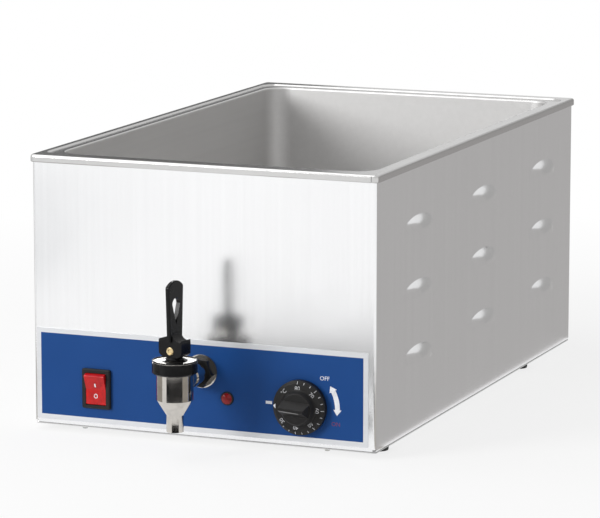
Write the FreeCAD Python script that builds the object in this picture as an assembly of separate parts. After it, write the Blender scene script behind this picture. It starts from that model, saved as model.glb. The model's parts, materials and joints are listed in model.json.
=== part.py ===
"""Countertop wet-well food warmer with a front tap, as used for warm cheese sauce.

Millimetres, +Z up, front face towards -Y.  The origin is the centre of the footprint,
on the surface that the four rubber feet stand on.
"""
import FreeCAD, Part
import math
import os

V = FreeCAD.Vector
X_AXIS = V(1, 0, 0)
Y_AXIS = V(0, 1, 0)
Z_AXIS = V(0, 0, 1)

# ---------------------------------------------------------------- driving dimensions
# Casing
PAN_W = 325.0  # rim of the GN 1/1 pan that the top takes
PAN_L = 530.0
PAN_CLEAR_W = 1.0  # pan's rim to the side of its seat
PAN_CLEAR_L = 1.5
RIM_SIDE = 6.5  # seat to the casing's side face
RIM_END = 13.5  # seat to the casing's front or rear face
CASE_H = 246.0  # lower edge to the underside of the rim's lip
SHEET = 0.8  # casing sheet
CORNER_R = 3.0  # outside radius of the upright bends
BOTTOM_R = 1.6  # outside radius of the bottom bends
FLANGE = 9.0  # inward flange round the bottom
REAR_FLANGE = 14.0  # inward flanges that take the rear panel
RELIEF = 3.4  # notch where the bottom bends meet a corner
RELIEF_H = 2.2
BASE_T = 1.0  # base plate
BASE_INSET = 0.5  # base plate's edge, inside the casing's outline
PANEL_T = 0.8  # rear panel
PANEL_INSET = 1.5  # rear panel's edge, inside the casing's outline
VENT_L = 46.0  # slots in the base plate
VENT_W = 5.0
VENT_PITCH = 26.0
VENT_ROWS = 2
VENT_COUNT = 6
VENT_ROW_PITCH = 150.0

# Feet
FOOT_H = 6.0  # what shows under the casing
FOOT_R = 10.5
FOOT_TAPER = 1.0
FOOT_SIDE = 14.5  # from the side face
FOOT_FRONT = 43.0  # from the front face
FOOT_REAR = 436.0
FOOT_RECESS_R = 5.0
FOOT_RECESS_H = 3.4
FOOT_SCREW_L = 10.0
M4_R = 2.0
M4_AF = 7.0  # hexagon of its nuts and screw heads
M4_NUT_H = 3.2
M4_HEAD_T = 2.2
BASE_SCREW_SIDE = 49.0  # from the side face
BASE_SCREW_L = 7.0
BASE_SCREW_HEAD_R = 3.0
BASE_SCREW_TOP_R = 2.1
SCREW_SLOT_W = 1.0
LABEL_CLEAR = 0.2  # round a countersunk head, radial

# Rim and well
LIP_H = 7.0
LIP_T = 1.8  # hemmed lip
LIP_GAP = 0.4  # lip to casing
RIM_T = 1.0
RIM_CORNER_R = 5.2
RIM_TOP_R = 2.4
RIM_HEM = 0.6  # bevel along the hem
SLIT_W = 0.9  # open joint in the front lip
SLIT_FROM_EDGE = 4.5
POCKET_R = 12.0  # stepped seat for the pan's rim
POCKET_STEP = 1.3
POCKET_SLOPE = 1.6
SEAT_SIDE = 9.0  # level seat, beside the opening
SEAT_END = 10.0
WELL_R = 21.0  # opening
WELL_EDGE_R = 1.9
COLLAR_H = 12.0  # turned-down edge of the opening
WELL_FLOOR_Z = 92.0
WELL_FLOOR_R = 12.0
TANK_T = 1.0

# Louvres
LOUVRE_L = 77.5
LOUVRE_H = 14.0
LOUVRE_OUT = 8.0
LOUVRE_SWEEP_PAST = 1.0  # degrees that the sweep runs past each end
LOUVRE_COLS = 3
LOUVRE_ROWS = 3
LOUVRE_PITCH_Y = 178.0
LOUVRE_PITCH_Z = 60.5
LOUVRE_FIRST_Y = 107.0  # from the front face to the first column's centre
LOUVRE_FIRST_Z = 67.0  # from the casing's lower edge to the first row's mouth

# Control panel
LABEL_T = 0.4
LABEL_MARGIN = 5.0  # narrower than the front, each side
LABEL_H = 86.5
LABEL_X = -2.4
LABEL_Z = 48.3  # centre, above the casing's lower edge
LABEL_R = 1.0

# Rocker switch
SWITCH_X = -105.7
SWITCH_Z = 37.7  # above the casing's lower edge
BEZEL_W = 28.5
BEZEL_H = 37.2
BEZEL_OUT = 3.4
BEZEL_R = 1.6
BEZEL_CHAMFER = 1.0
SWITCH_BODY_W = 24.6
SWITCH_BODY_H = 33.0
SWITCH_BODY_D = 24.0
LATCH_W = 9.0  # snap latches above and below the switch
LATCH_L = 6.0
LATCH_H = 1.2
ROCKER_W = 20.0
ROCKER_R = 14.8  # end faces, about the pivot
ROCKER_END = 5.0  # how far the ends stand out from the pivot, halfway
ROCKER_SKIRT = 3.0  # rocker body behind the pivot
ROCKER_SKIRT_IN = 0.6  # taper of that part
ROCKER_TILT = 20.0  # degrees from off to on
ROCKER_GAP = 0.3
ROCKER_WALL = 2.0
ROCKER_EDGE_R = 0.8
ROCKER_WELL = 9.5  # depth of the housing's pocket behind the pivot
ROCKER_PIVOT_OUT = 0.5  # pivot, in front of the label
TRUNNION_R = 1.6
TRUNNION_L = 1.2
SPADE_W = 6.3
SPADE_T = 0.8
SPADE_L = 10.0
SPADE_HOLE_R = 0.9
SPADE_HOLE_IN = 4.0  # from the tip
SPADE_PITCH_X = 10.0
SPADE_PITCH_Z = 14.0

# Pilot lamp
LAMP_X = 25.2
LAMP_Z = 39.2  # above the casing's lower edge
LAMP_BEZEL_R = 6.3
LAMP_BEZEL_OUT = 1.6
LAMP_BEZEL_RIM = 0.8  # upright part of its edge
LAMP_BEZEL_BEVEL = 0.7
LAMP_LENS_R = 5.2
LAMP_LENS_OUT = 3.0
LAMP_SOCKET = 1.0  # below the bezel's face
LAMP_WALL = 1.2
LAMP_BULB_L = 14.0
LAMP_BARREL_R = 5.0
LAMP_BARREL_L = 24.0
LAMP_TAB_W = 2.8
LAMP_TAB_L = 8.0
LAMP_NUT_AF = 14.0
LAMP_NUT_H = 3.0
LAMP_NUT_BEVEL = 0.6

# Thermostat and its knob
STAT_X = 98.0
STAT_Z = 37.7  # above the casing's lower edge
STAT_BODY_W = 36.0
STAT_BODY_H = 44.0
STAT_BODY_D = 24.0
STAT_EAR_W = 22.0
STAT_EAR_T = 1.5
STAT_EDGE_R = 2.0
STAT_SCREW_PITCH = 28.0
STAT_SCREW_HEAD_R = 3.8
STAT_SCREW_L = 6.0
BUSH_R = 4.6
SPINDLE_R = 3.0
SPINDLE_FLAT = 0.9
SPINDLE_FLAT_Z = 3.0  # where the flat starts, in front of the label
SPINDLE_OUT = 13.0
SPINDLE_INSIDE = 14.0
KNOB_R = 25.2
KNOB_GAP = 0.8  # knob to label
KNOB_EDGE = 5.2
SKIRT_TOP_R = 22.6
SKIRT_OUT = 7.6
HUB_R = 14.6
HUB_BASE_R = 16.2
HUB_FOOT_W = 1.0  # soft step where the hub leaves the skirt
HUB_FOOT_H = 0.6
HUB_FOOT_TOP = 2.0
HUB_BEVEL = 0.8
HUB_OUT = 14.2
GRIP_OUT = 22.0
GRIP_BASE = 7.6  # half width where the grip leaves the hub
GRIP_FOOT = 1.0  # bevel at its foot
GRIP_IN = 0.3  # inside the hub's edge
GRIP_CREST = 1.3  # half width along its crest
GRIP_TAIL = 9.5  # crest's length on the side away from the pointer
GRIP_TURN = 4.0  # degrees, as the photograph shows the knob
GRIP_SHOULDER = 1.6  # from the hub's edge to the foot of the sloping tail
KNOB_HOLLOW_R = 18.0
KNOB_HOLLOW = 5.0

# Tap
TAP_REACH = 60.4  # front face to the tap's upright axis
TAP_Z = 62.9  # shank's axis, above the casing's lower edge
BODY_R = 16.8
CHAMBER_R = 13.5
CONE_TOP = -14.3
CONE_BOTTOM = -28.5
SPOUT_R = 7.85
SPOUT_BORE_R = 5.2
SPOUT_BOTTOM = -43.8
CHAMBER_FLOOR = -11.5
THROAT_H = 4.0  # funnel from the chamber to the spout's bore
THROAT_W = 2.4
NECK_R = 9.4
NECK_END = 30.0  # plain neck, from the tap's axis
SHANK_R = 10.4  # threaded shank
SHANK_BORE_R = 6.5
SHANK_INSIDE = 34.0  # behind the front face
SHANK_BARB_L = 16.0
RING_BOTTOM = 9.6
RING_H = 10.5
RING_R = 20.6
RING_EDGE_R = 1.2
RING_BEVEL = 0.5
THREAD_L = 7.0  # body inside the ring
CAP_T = 1.2
CAP_EDGE_R = 0.6
CAP_INSET = 0.2  # cap plate inside the ring's edge
BOSS_BASE_R = 11.5
BOSS_BASE_H = 0.5
BOSS_FLARE_W = 1.2
BOSS_FLARE_H = 1.5
BOSS_R = 7.3
BOSS_FLAT = 0.4  # straight part under its top
SPIGOT_R = 8.4
SPIGOT_L = 7.4
STEM_R = 3.0
STEM_FIT = 0.05
PIN_Z = 30.5  # pin's axis above the shank's axis
PIN_R = 1.5
PIN_HEAD_R = 3.8
PIN_HEAD_T = 1.1
PIN_HEAD_RIM = 0.4  # upright part of its edge
PIN_HEAD_BEVEL = 0.7
PIN_CUP_R = 2.0
PIN_CUP_FLOOR_R = 1.4
PIN_CUP = 0.7
PIN_TAIL_R = 2.4
PIN_TAIL_T = 0.8
STEM_TIP = 3.0  # above the pin
STEM_BEVEL = 0.5
SEAT_R = 10.6
SEAT_RIM_H = 2.5
SEAT_CONE_H = 7.5
SEAT_NECK_R = 7.0
SEAT_TOP = 2.0
STEM_FOOT_R = 4.5
STEM_FOOT_T = 3.0
STEM_FOOT_Z = -7.0
SPRING_R = 5.6
SPRING_WIRE_R = 0.6
SPRING_TURNS = 5

# Tap handle
SWING = math.radians(12.0)  # the handle's pin, turned from straight ahead
CAM_REST = 5.5  # pin to the flat under the cam
CAM_RISE = 6.2  # lift per radian of tilt
CAM_TILT = 50.0  # degrees
CAM_GAP = 0.1
CAM_HALF_T = 7.0  # along the pin
CAM_SIDE = 12.6
CAM_SIDE_Z = 2.0  # widest point, above the pin
CAM_HORN_Z = 10.6
CAM_HORN_T = 1.9
CAM_HORN_LEAN = 0.2
CAM_DIP_Z = 8.6
CAM_SWELL_X = 5.8
CAM_SWELL_Z = 10.5
BLADE_T = 4.2
BLADE_BASE_W = 18.5
BLADE_TOP_W = 22.5
BLADE_TOP = 63.6  # above the pin
BLADE_ARCH_R = 14.5
BLADE_EDGE_R = 1.1
BLADE_ROOT_Z = 17.2
CAM_ROOT_IN = 0.9  # the cam's curves run this far into the blade
SLOT_TIP = 23.5
SLOT_TOP = 48.2
SLOT_W = 11.5
BLADE_CORNER_R = 2.9
FORK_W = 6.4  # slot for the stem
STEM_SIDE_GAP = 0.3

# Shank hardware
NUT_AF = 25.0
NUT_H = 9.5
NUT_TURN = -8.0
NUT_BEVEL = 1.2
NUT_BEVEL_RUN = 1.8  # a bevel's run for each unit of height
NUT_BEVEL_SHIFT = 0.4  # share of the bevel that lies past the end face
WASHER_R = 15.5
WASHER_T = 1.5
LOCK_NUT_AF = 27.0
LOCK_NUT_H = 6.0

# Drain
DRAIN_Y = 90.0  # well's drain, from the front face
DRAIN_R = 9.5  # drain elbow and the tap's barb
DRAIN_WALL = 1.2
SOCKET_R = 15.0
SOCKET_H = 4.0
DRAIN_END_Y = 58.0  # elbow's open end, from the front face
HOSE_WALL = 2.6
HOSE_LAP = 12.0
HOSE_GAP = 1.5
CLIP_W = 8.0
CLIP_T = 0.8
CLIP_SCREW_R = 2.6
CLIP_SCREW_L = 13.0
CLIP_SCREW_SUNK = 0.4  # screw housing into the band
CLIP_BACK = 1.0  # front clip, behind the barb's middle

# Heating
ELEMENT_W = 8.0
ELEMENT_H = 6.4
ELEMENT_FLAT = 2.4
ELEMENT_BEND_R = 18.0
ELEMENT_CLEAR = 2.5  # outer run to the studs
ELEMENT_INNER_X = 40.0  # inner runs
ELEMENT_FRONT = 150.0
ELEMENT_REAR = 470.0
ELEMENT_TURN = 420.0
TERMINAL_R = 3.2
TERMINAL_L = 14.0
TERMINAL_PIN_R = 1.6
TERMINAL_PIN_L = 9.0
CLAMP_W = 262.0
CLAMP_FRONT = 136.0
CLAMP_L = 320.0
CLAMP_T = 1.2
STUD_R = 2.5
STUD_INSET = 10.0
STUD_TAIL = 7.0
STUD_NUT_AF = 8.0
STUD_NUT_H = 4.0
PAD_T = 12.0
PAD_INSET = 24.0
BULB_R = 3.0
BULB_L = 90.0
BULB_X = 68.0
BULB_Y = 112.0
CAPILLARY_R = 1.0
CAPILLARY_X = 8.0  # from the thermostat's axis
CAPILLARY_RISE = 12.0
CAPILLARY_OUT = 21.0  # sideways stretch before the bulb
CAPILLARY_BEND_R = 5.0
BULB_CLIP_W = 10.0
BULB_CLIP_T = 0.6
BULB_CLIP_EAR = 8.0
BULB_CLIP_PITCH = 54.0

# Rear and wiring
GLAND_SIDE = 50.0  # from the side face
GLAND_Z = 40.0  # above the casing's lower edge
GLAND_R = 10.0
GLAND_AF = 24.0
GLAND_HEX_L = 6.0
GLAND_BEVEL = 0.8
GLAND_NECK_L = 6.0
GLAND_NECK_STEP = 0.6  # neck, inside the thread's radius
GLAND_DOME_L = 15.0
DOME_HEX_L = 5.3  # hexagonal part of the dome nut
DOME_SHOULDER_L = 6.3
DOME_SHOULDER = 1.9  # past its flats
DOME_TURN_L = 11.3
DOME_TURN = 0.4  # inside its flats
DOME_LIP = 0.6  # round the seal
DOME_WALL = 1.5  # end wall
DOME_MOUTH = 1.2  # round the cord
SEAL_END_GAP = 1.0
GLAND_INSIDE = 9.0
GLAND_NUT_H = 5.0
CORD_R = 4.1  # inlet's bore
GLAND_SEAL_R = 7.0
REAR_SCREW_L = 8.0
REAR_SCREW_ROWS = 4
REAR_SCREW_EDGE = 18.0
BLOCK_W = 44.0
BLOCK_D = 20.0
BLOCK_H = 17.0
BLOCK_HOLE = 4.8
BLOCK_GROOVE = 2.0
BLOCK_SIDE = 58.0  # from the side face
BLOCK_REAR = 60.0  # from the rear face
BLOCK_WAYS = 3
EARTH_SIDE = 110.0  # from the side face
EARTH_L = 16.0

# Cutters
PAST = 1.0  # how far a cutter runs past the face that it leaves
TOUCH = 0.01  # slack when an edge is looked up by its place

# ---------------------------------------------------------------- places
POCKET_W = PAN_W + 2 * PAN_CLEAR_W
POCKET_L = PAN_L + 2 * PAN_CLEAR_L
WELL_W = POCKET_W - 2 * SEAT_SIDE
WELL_L = POCKET_L - 2 * SEAT_END
CASE_W = POCKET_W + 2 * RIM_SIDE
CASE_D = POCKET_L + 2 * RIM_END
LABEL_W = CASE_W - 2 * LABEL_MARGIN
REACH_FRONT = TAP_REACH + RING_R
REACH_BACK = CASE_D + GLAND_HEX_L + GLAND_DOME_L
FRONT = (REACH_FRONT - REACH_BACK) / 2  # y of the front face
BACK = FRONT + CASE_D
MID_Y = FRONT + CASE_D / 2
EDGE_Z = FOOT_H  # casing's lower edge
FLOOR_TOP = EDGE_Z + BASE_T  # top of the base plate
LIP_Z = EDGE_Z + CASE_H
TOP_Z = LIP_Z + LIP_H
LEDGE_Z = TOP_Z - POCKET_STEP
WRAP_TOP = TOP_Z - RIM_T
REAR_SEAT = BACK - PANEL_T
LABEL_Y = FRONT - LABEL_T
INNER_Y = FRONT + SHEET
TANK_UNDER = WELL_FLOOR_Z - TANK_T
TAP_Y = FRONT - TAP_REACH
SHANK_Z = EDGE_Z + TAP_Z
PIN = V(0, TAP_Y, SHANK_Z + PIN_Z)
PIN_AXIS = V(-math.sin(SWING), -math.cos(SWING), 0)
SWITCH = V(SWITCH_X, LABEL_Y - ROCKER_PIVOT_OUT, EDGE_Z + SWITCH_Z)
LAMP = V(LAMP_X, LABEL_Y, EDGE_Z + LAMP_Z)
STAT = V(STAT_X, LABEL_Y, EDGE_Z + STAT_Z)
GLAND = V(CASE_W / 2 - GLAND_SIDE, BACK, EDGE_Z + GLAND_Z)
BLOCK_PLACE = V(CASE_W / 2 - BLOCK_SIDE, BACK - BLOCK_REAR, FLOOR_TOP)
EARTH = V(CASE_W / 2 - EARTH_SIDE, BACK - BLOCK_REAR, EDGE_Z)
CLAMP_TOP = TANK_UNDER - ELEMENT_H
STUD_X = CLAMP_W / 2 - STUD_INSET
ELEMENT_X = STUD_X - STUD_R - ELEMENT_CLEAR - ELEMENT_W / 2  # outer runs


# ---------------------------------------------------------------- building blocks
def block(x0, x1, y0, y1, z0, z1):
    return Part.makeBox(x1 - x0, y1 - y0, z1 - z0, V(x0, y0, z0))


def bar_y(x, z, width, height, y0, y1):
    """Block centred on (x, z), from y0 back to y1."""
    return block(x - width / 2, x + width / 2, y0, y1, z - height / 2, z + height / 2)


def rod(radius, base, axis, length):
    return Part.makeCylinder(radius, length, base, axis)


def tube(outer, inner, base, axis, length):
    return rod(outer, base, axis, length).cut(rod(inner, base, axis, length))


def rounded_outline(width, depth, radius, centre):
    """Closed wire of a rounded rectangle in a level plane."""
    x, y, z = centre
    hx, hy = width / 2, depth / 2
    corner = radius * (1 - math.sqrt(0.5))
    edges = []
    for sx, sy, turn in ((1, -1, 0), (1, 1, 1), (-1, 1, 2), (-1, -1, 3)):
        along = V(0, 1, 0) if turn % 2 == 0 else V(1, 0, 0)
        across = V(1, 0, 0) if turn % 2 == 0 else V(0, 1, 0)
        tip = V(x + sx * hx, y + sy * hy, z)
        inward = V(-sx * across.x, -sy * across.y, 0)
        onward = V(-sx * along.x, -sy * along.y, 0)
        start = tip + inward * radius
        end = tip + onward * radius
        middle = tip + V(-sx * corner, -sy * corner, 0)
        edges.append(Part.Arc(start, middle, end).toShape())
    joined = []
    for one, following in zip(edges, edges[1:] + edges[:1]):
        joined.append(one)
        joined.append(Part.makeLine(one.Vertexes[-1].Point, following.Vertexes[0].Point))
    return Part.Wire(Part.__sortEdges__(joined))


def slab(width, depth, radius, z0, z1, y=MID_Y, x=0.0):
    """Upright prism on a rounded rectangle."""
    outline = rounded_outline(width, depth, radius, (x, y, z0))
    return Part.Face(outline).extrude(V(0, 0, z1 - z0))


def tapered(top, bottom, z_top, z_bottom):
    """Loft between two rounded rectangles, each (width, depth, radius)."""
    upper = rounded_outline(*top, (0, MID_Y, z_top))
    lower = rounded_outline(*bottom, (0, MID_Y, z_bottom))
    return Part.makeLoft([lower, upper], True, True)


def level_edges(shape, z, smallest=0.0):
    """Edges that lie wholly at one height."""
    found = []
    for edge in shape.Edges:
        box = edge.BoundBox
        if abs(box.ZMin - z) < 1e-4 and abs(box.ZMax - z) < 1e-4 and edge.Length > smallest:
            found.append(edge)
    return found


def rounded_at(shape, radius, z):
    return shape.makeFillet(radius, level_edges(shape, z))


def turned(points, base, axis=Z_AXIS):
    """Solid of revolution.  Points are (radius, height) or an arc's middle as (r, h, 'arc')."""
    edges = []
    place = [V(p[0], 0, p[1]) for p in points]
    index = 0
    while index < len(points):
        after = (index + 1) % len(points)
        if len(points[after]) == 3:
            end = (after + 1) % len(points)
            edges.append(Part.Arc(place[index], place[after], place[end]).toShape())
            index += 2
        else:
            edges.append(Part.makeLine(place[index], place[after]))
            index += 1
    profile = Part.Face(Part.Wire(edges))
    solid = profile.revolve(V(0, 0, 0), Z_AXIS, 360)
    solid.Placement = FreeCAD.Placement(V(0, 0, 0), FreeCAD.Rotation(Z_AXIS, axis))
    solid.translate(base)
    return solid


def hexagon(across_flats, base, axis, height, turn=0.0, chamfer=0.0):
    """Hexagonal prism; a chamfer rounds off its corners at the far end."""
    corner = across_flats / math.sqrt(3)
    ring = []
    for k in range(7):
        angle = math.radians(60 * k + turn)
        ring.append(V(corner * math.cos(angle), corner * math.sin(angle), 0))
    solid = Part.Face(Part.makePolygon(ring)).extrude(V(0, 0, height))
    if chamfer:
        wide = across_flats / 2 + height * NUT_BEVEL_RUN
        narrow = across_flats / 2 - chamfer
        solid = solid.common(Part.makeCone(wide, narrow, height + chamfer * NUT_BEVEL_SHIFT))
    solid.Placement = FreeCAD.Placement(V(0, 0, 0), FreeCAD.Rotation(Z_AXIS, axis))
    solid.translate(base)
    return solid


def bent_path(points, radius):
    """Straight runs joined by tangent arcs of one radius."""
    edges = []
    start = points[0]
    for before, corner, after in zip(points, points[1:], points[2:]):
        into = (corner - before).normalize()
        out = (after - corner).normalize()
        half = into.getAngle(out) / 2
        trim = radius * math.tan(half)
        first = corner - into * trim
        last = corner + out * trim
        bisector = (out - into).normalize()
        middle = corner + bisector * (radius / math.cos(half) - radius)
        edges.append(Part.makeLine(start, first))
        edges.append(Part.Arc(first, middle, last).toShape())
        start = last
    edges.append(Part.makeLine(start, points[-1]))
    return Part.Wire(edges)


def slotted_screw(base, axis, length):
    """M4 screw whose head's underside is at base; axis points along the shank."""
    radius = BASE_SCREW_HEAD_R
    half = SCREW_SLOT_W / 2
    head = Part.makeCone(radius, BASE_SCREW_TOP_R, M4_HEAD_T, base, axis * -1)
    slot = block(-radius, radius, -half, half, -M4_HEAD_T, -M4_HEAD_T / 2)
    slot.Placement = FreeCAD.Placement(V(0, 0, 0), FreeCAD.Rotation(Z_AXIS, axis))
    slot.translate(base)
    return head.cut(slot).fuse(rod(M4_R, base, axis, length)).removeSplitter()


def hex_screw(base, axis, length):
    """M4 screw whose head's underside is at base; axis points along the shank."""
    head = hexagon(M4_AF, base, axis * -1, M4_HEAD_T)
    return head.fuse(rod(M4_R, base, axis, length)).removeSplitter()


def m4_nut(base):
    return hexagon(M4_AF, base, Z_AXIS, M4_NUT_H).cut(rod(M4_R, base, Z_AXIS, M4_NUT_H))


def saved(name, *solids):
    """Write one node: a solid, or a group of separate like solids."""
    shape = solids[0] if len(solids) == 1 else Part.Compound(list(solids))
    for solid in solids:
        if not solid.isValid() or solid.Volume <= 0 or len(solid.Solids) != 1:
            raise ValueError(f"{name}: {len(solid.Solids)} solids, volume {solid.Volume:.3f}")
    if len(solids) == 1:
        shape = shape.Solids[0]
    shape.exportStep(f"parts/{name}.step")


# ---------------------------------------------------------------- casing
def foot_places():
    x = CASE_W / 2 - FOOT_SIDE
    return [V(sx * x, FRONT + y, 0) for sx in (-1, 1) for y in (FOOT_FRONT, FOOT_REAR)]


def base_screw_places():
    x = CASE_W / 2 - BASE_SCREW_SIDE
    inset = SHEET + FLANGE / 2
    rows = (FRONT + inset, REAR_SEAT - inset)
    return [V(sx * x, y, EDGE_Z) for sx in (-1, 1) for y in rows]


def rear_screw_places():
    x = CASE_W / 2 - SHEET - REAR_FLANGE / 2
    low = FLOOR_TOP + REAR_SCREW_EDGE
    step = (LIP_Z - REAR_SCREW_EDGE - low) / (REAR_SCREW_ROWS - 1)
    return [V(sx * x, BACK, low + step * row) for sx in (-1, 1) for row in range(REAR_SCREW_ROWS)]


def stat_screw_places():
    half = STAT_SCREW_PITCH / 2
    return [V(STAT_X, FRONT, STAT.z + half), V(STAT_X, FRONT, STAT.z - half)]


def louvre_places():
    places = []
    for side in (-1, 1):
        for column in range(LOUVRE_COLS):
            for row in range(LOUVRE_ROWS):
                y = FRONT + LOUVRE_FIRST_Y + LOUVRE_PITCH_Y * column
                z = EDGE_Z + LOUVRE_FIRST_Z + LOUVRE_PITCH_Z * row
                places.append((side, y, z))
    return places


def louvre_scoop(side, y, z, inset):
    """Quarter-round profile swept about an upright axis deep inside the wall.

    The sweep gives the mouth its bow and the dome its rounded outline on the wall.
    """
    bow_r = ((LOUVRE_L / 2) ** 2 + LOUVRE_OUT**2) / (2 * LOUVRE_OUT)
    dome_r = (LOUVRE_H**2 + LOUVRE_OUT**2) / (2 * LOUVRE_OUT)
    axis_x = CASE_W / 2 + LOUVRE_OUT - bow_r
    centre_x = CASE_W / 2 + LOUVRE_OUT - dome_r
    reach = dome_r - inset
    slant = reach * math.sqrt(0.5)
    root = V(side * centre_x, y, z)
    crown = V(side * (centre_x + reach), y, z)
    top = V(side * centre_x, y, z + reach)
    edges = [
        Part.makeLine(root, crown),
        Part.Arc(crown, V(side * (centre_x + slant), y, z + slant), top).toShape(),
        Part.makeLine(top, root),
    ]
    half_turn = math.degrees(math.asin(LOUVRE_L / 2 / bow_r)) + LOUVRE_SWEEP_PAST
    axis = V(side * axis_x, y, z)
    profile = Part.Face(Part.Wire(edges))
    profile.rotate(axis, Z_AXIS, -half_turn)
    return profile.revolve(axis, Z_AXIS, 2 * half_turn)


def front_openings():
    """Cut-outs that the front of the casing and the label share."""
    start = LABEL_Y - PAST
    end = INNER_Y + BOTTOM_R
    length = end - start
    body = bar_y(SWITCH.x, SWITCH.z, SWITCH_BODY_W, SWITCH_BODY_H, start, end)
    lamp = rod(LAMP_BARREL_R, V(LAMP.x, start, LAMP.z), Y_AXIS, length)
    bush = rod(BUSH_R, V(STAT.x, start, STAT.z), Y_AXIS, length)
    shank = rod(SHANK_R, V(0, start, SHANK_Z), Y_AXIS, length)
    return body.fuse([lamp, bush, shank])


def countersunk_head(place):
    return Part.makeCone(STAT_SCREW_HEAD_R, STAT_SCREW_HEAD_R - SHEET, SHEET, place, Y_AXIS)


def countersinks():
    sinks = []
    for place in stat_screw_places():
        sinks.append(countersunk_head(place))
        sinks.append(rod(M4_R, place, Y_AXIS, 2 * SHEET))
    return sinks


def casing_wrap():
    depth = REAR_SEAT - FRONT
    middle = (REAR_SEAT + FRONT) / 2
    outer = slab(CASE_W, depth, CORNER_R, FLOOR_TOP, WRAP_TOP, middle)
    outer = rounded_at(outer, BOTTOM_R, FLOOR_TOP)
    inner_w = CASE_W - 2 * SHEET
    inner_d = depth - 2 * SHEET
    inner_top = WRAP_TOP + PAST
    inner = slab(inner_w, inner_d, CORNER_R - SHEET, FLOOR_TOP + SHEET, inner_top, middle)
    inner = rounded_at(inner, BOTTOM_R - SHEET, FLOOR_TOP + SHEET)
    wrap = outer.cut(inner)
    open_w = inner_w - 2 * FLANGE
    open_d = inner_d - 2 * FLANGE
    wrap = wrap.cut(slab(open_w, open_d, SHEET, EDGE_Z, FLOOR_TOP + SHEET + BOTTOM_R, middle))
    half = CASE_W / 2 - REAR_FLANGE
    behind = REAR_SEAT + PAST
    wrap = wrap.cut(block(-half, half, REAR_SEAT - CORNER_R, behind, FLOOR_TOP + FLANGE, inner_top))
    for sx in (-1, 1):
        for y in (FRONT, REAR_SEAT):
            notch = block(-RELIEF, RELIEF, -RELIEF, RELIEF, -PAST, RELIEF_H)
            notch.translate(V(sx * CASE_W / 2, y, FLOOR_TOP))
            wrap = wrap.cut(notch)
    wrap = wrap.cut(front_openings())
    wrap = wrap.cut(countersinks())
    wall = block(-CASE_W, CASE_W, FRONT, BACK, EDGE_Z, TOP_Z).cut(
        block(-inner_w / 2, inner_w / 2, FRONT - PAST, BACK + PAST, EDGE_Z - PAST, TOP_Z + PAST)
    )
    domes = [louvre_scoop(*place, 0).common(wall) for place in louvre_places()]
    mouths = [louvre_scoop(*place, SHEET) for place in louvre_places()]
    wrap = wrap.fuse(domes).cut(mouths)
    for place in base_screw_places():
        wrap = wrap.cut(rod(M4_R, place, Z_AXIS, BASE_SCREW_L))
    for place in rear_screw_places():
        wrap = wrap.cut(rod(M4_R, place, Y_AXIS * -1, REAR_SCREW_L))
    return wrap.removeSplitter()


def base_plate():
    plate = slab(CASE_W - 2 * BASE_INSET, CASE_D - 2 * BASE_INSET, CORNER_R, EDGE_Z, FLOOR_TOP)
    for row in range(VENT_ROWS):
        for k in range(VENT_COUNT):
            y = MID_Y + (row - (VENT_ROWS - 1) / 2) * VENT_ROW_PITCH
            x = (k - (VENT_COUNT - 1) / 2) * VENT_PITCH
            slot = block(-VENT_W / 2, VENT_W / 2, -VENT_L / 2, VENT_L / 2, -PAST, BASE_T + PAST)
            slot.translate(V(x, y, EDGE_Z))
            plate = plate.cut(slot)
    for place in foot_places() + base_screw_places() + [EARTH]:
        plate = plate.cut(rod(M4_R, V(place.x, place.y, EDGE_Z - PAST), Z_AXIS, BASE_T + 2 * PAST))
    return plate


def rear_panel():
    half = CASE_W / 2 - PANEL_INSET
    panel = block(-half, half, REAR_SEAT, BACK, FLOOR_TOP, WRAP_TOP)
    through = PANEL_T + 2 * PAST
    panel = panel.cut(rod(GLAND_R, V(GLAND.x, REAR_SEAT - PAST, GLAND.z), Y_AXIS, through))
    for place in rear_screw_places():
        panel = panel.cut(rod(M4_R, V(place.x, REAR_SEAT - PAST, place.z), Y_AXIS, through))
    return panel


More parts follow.
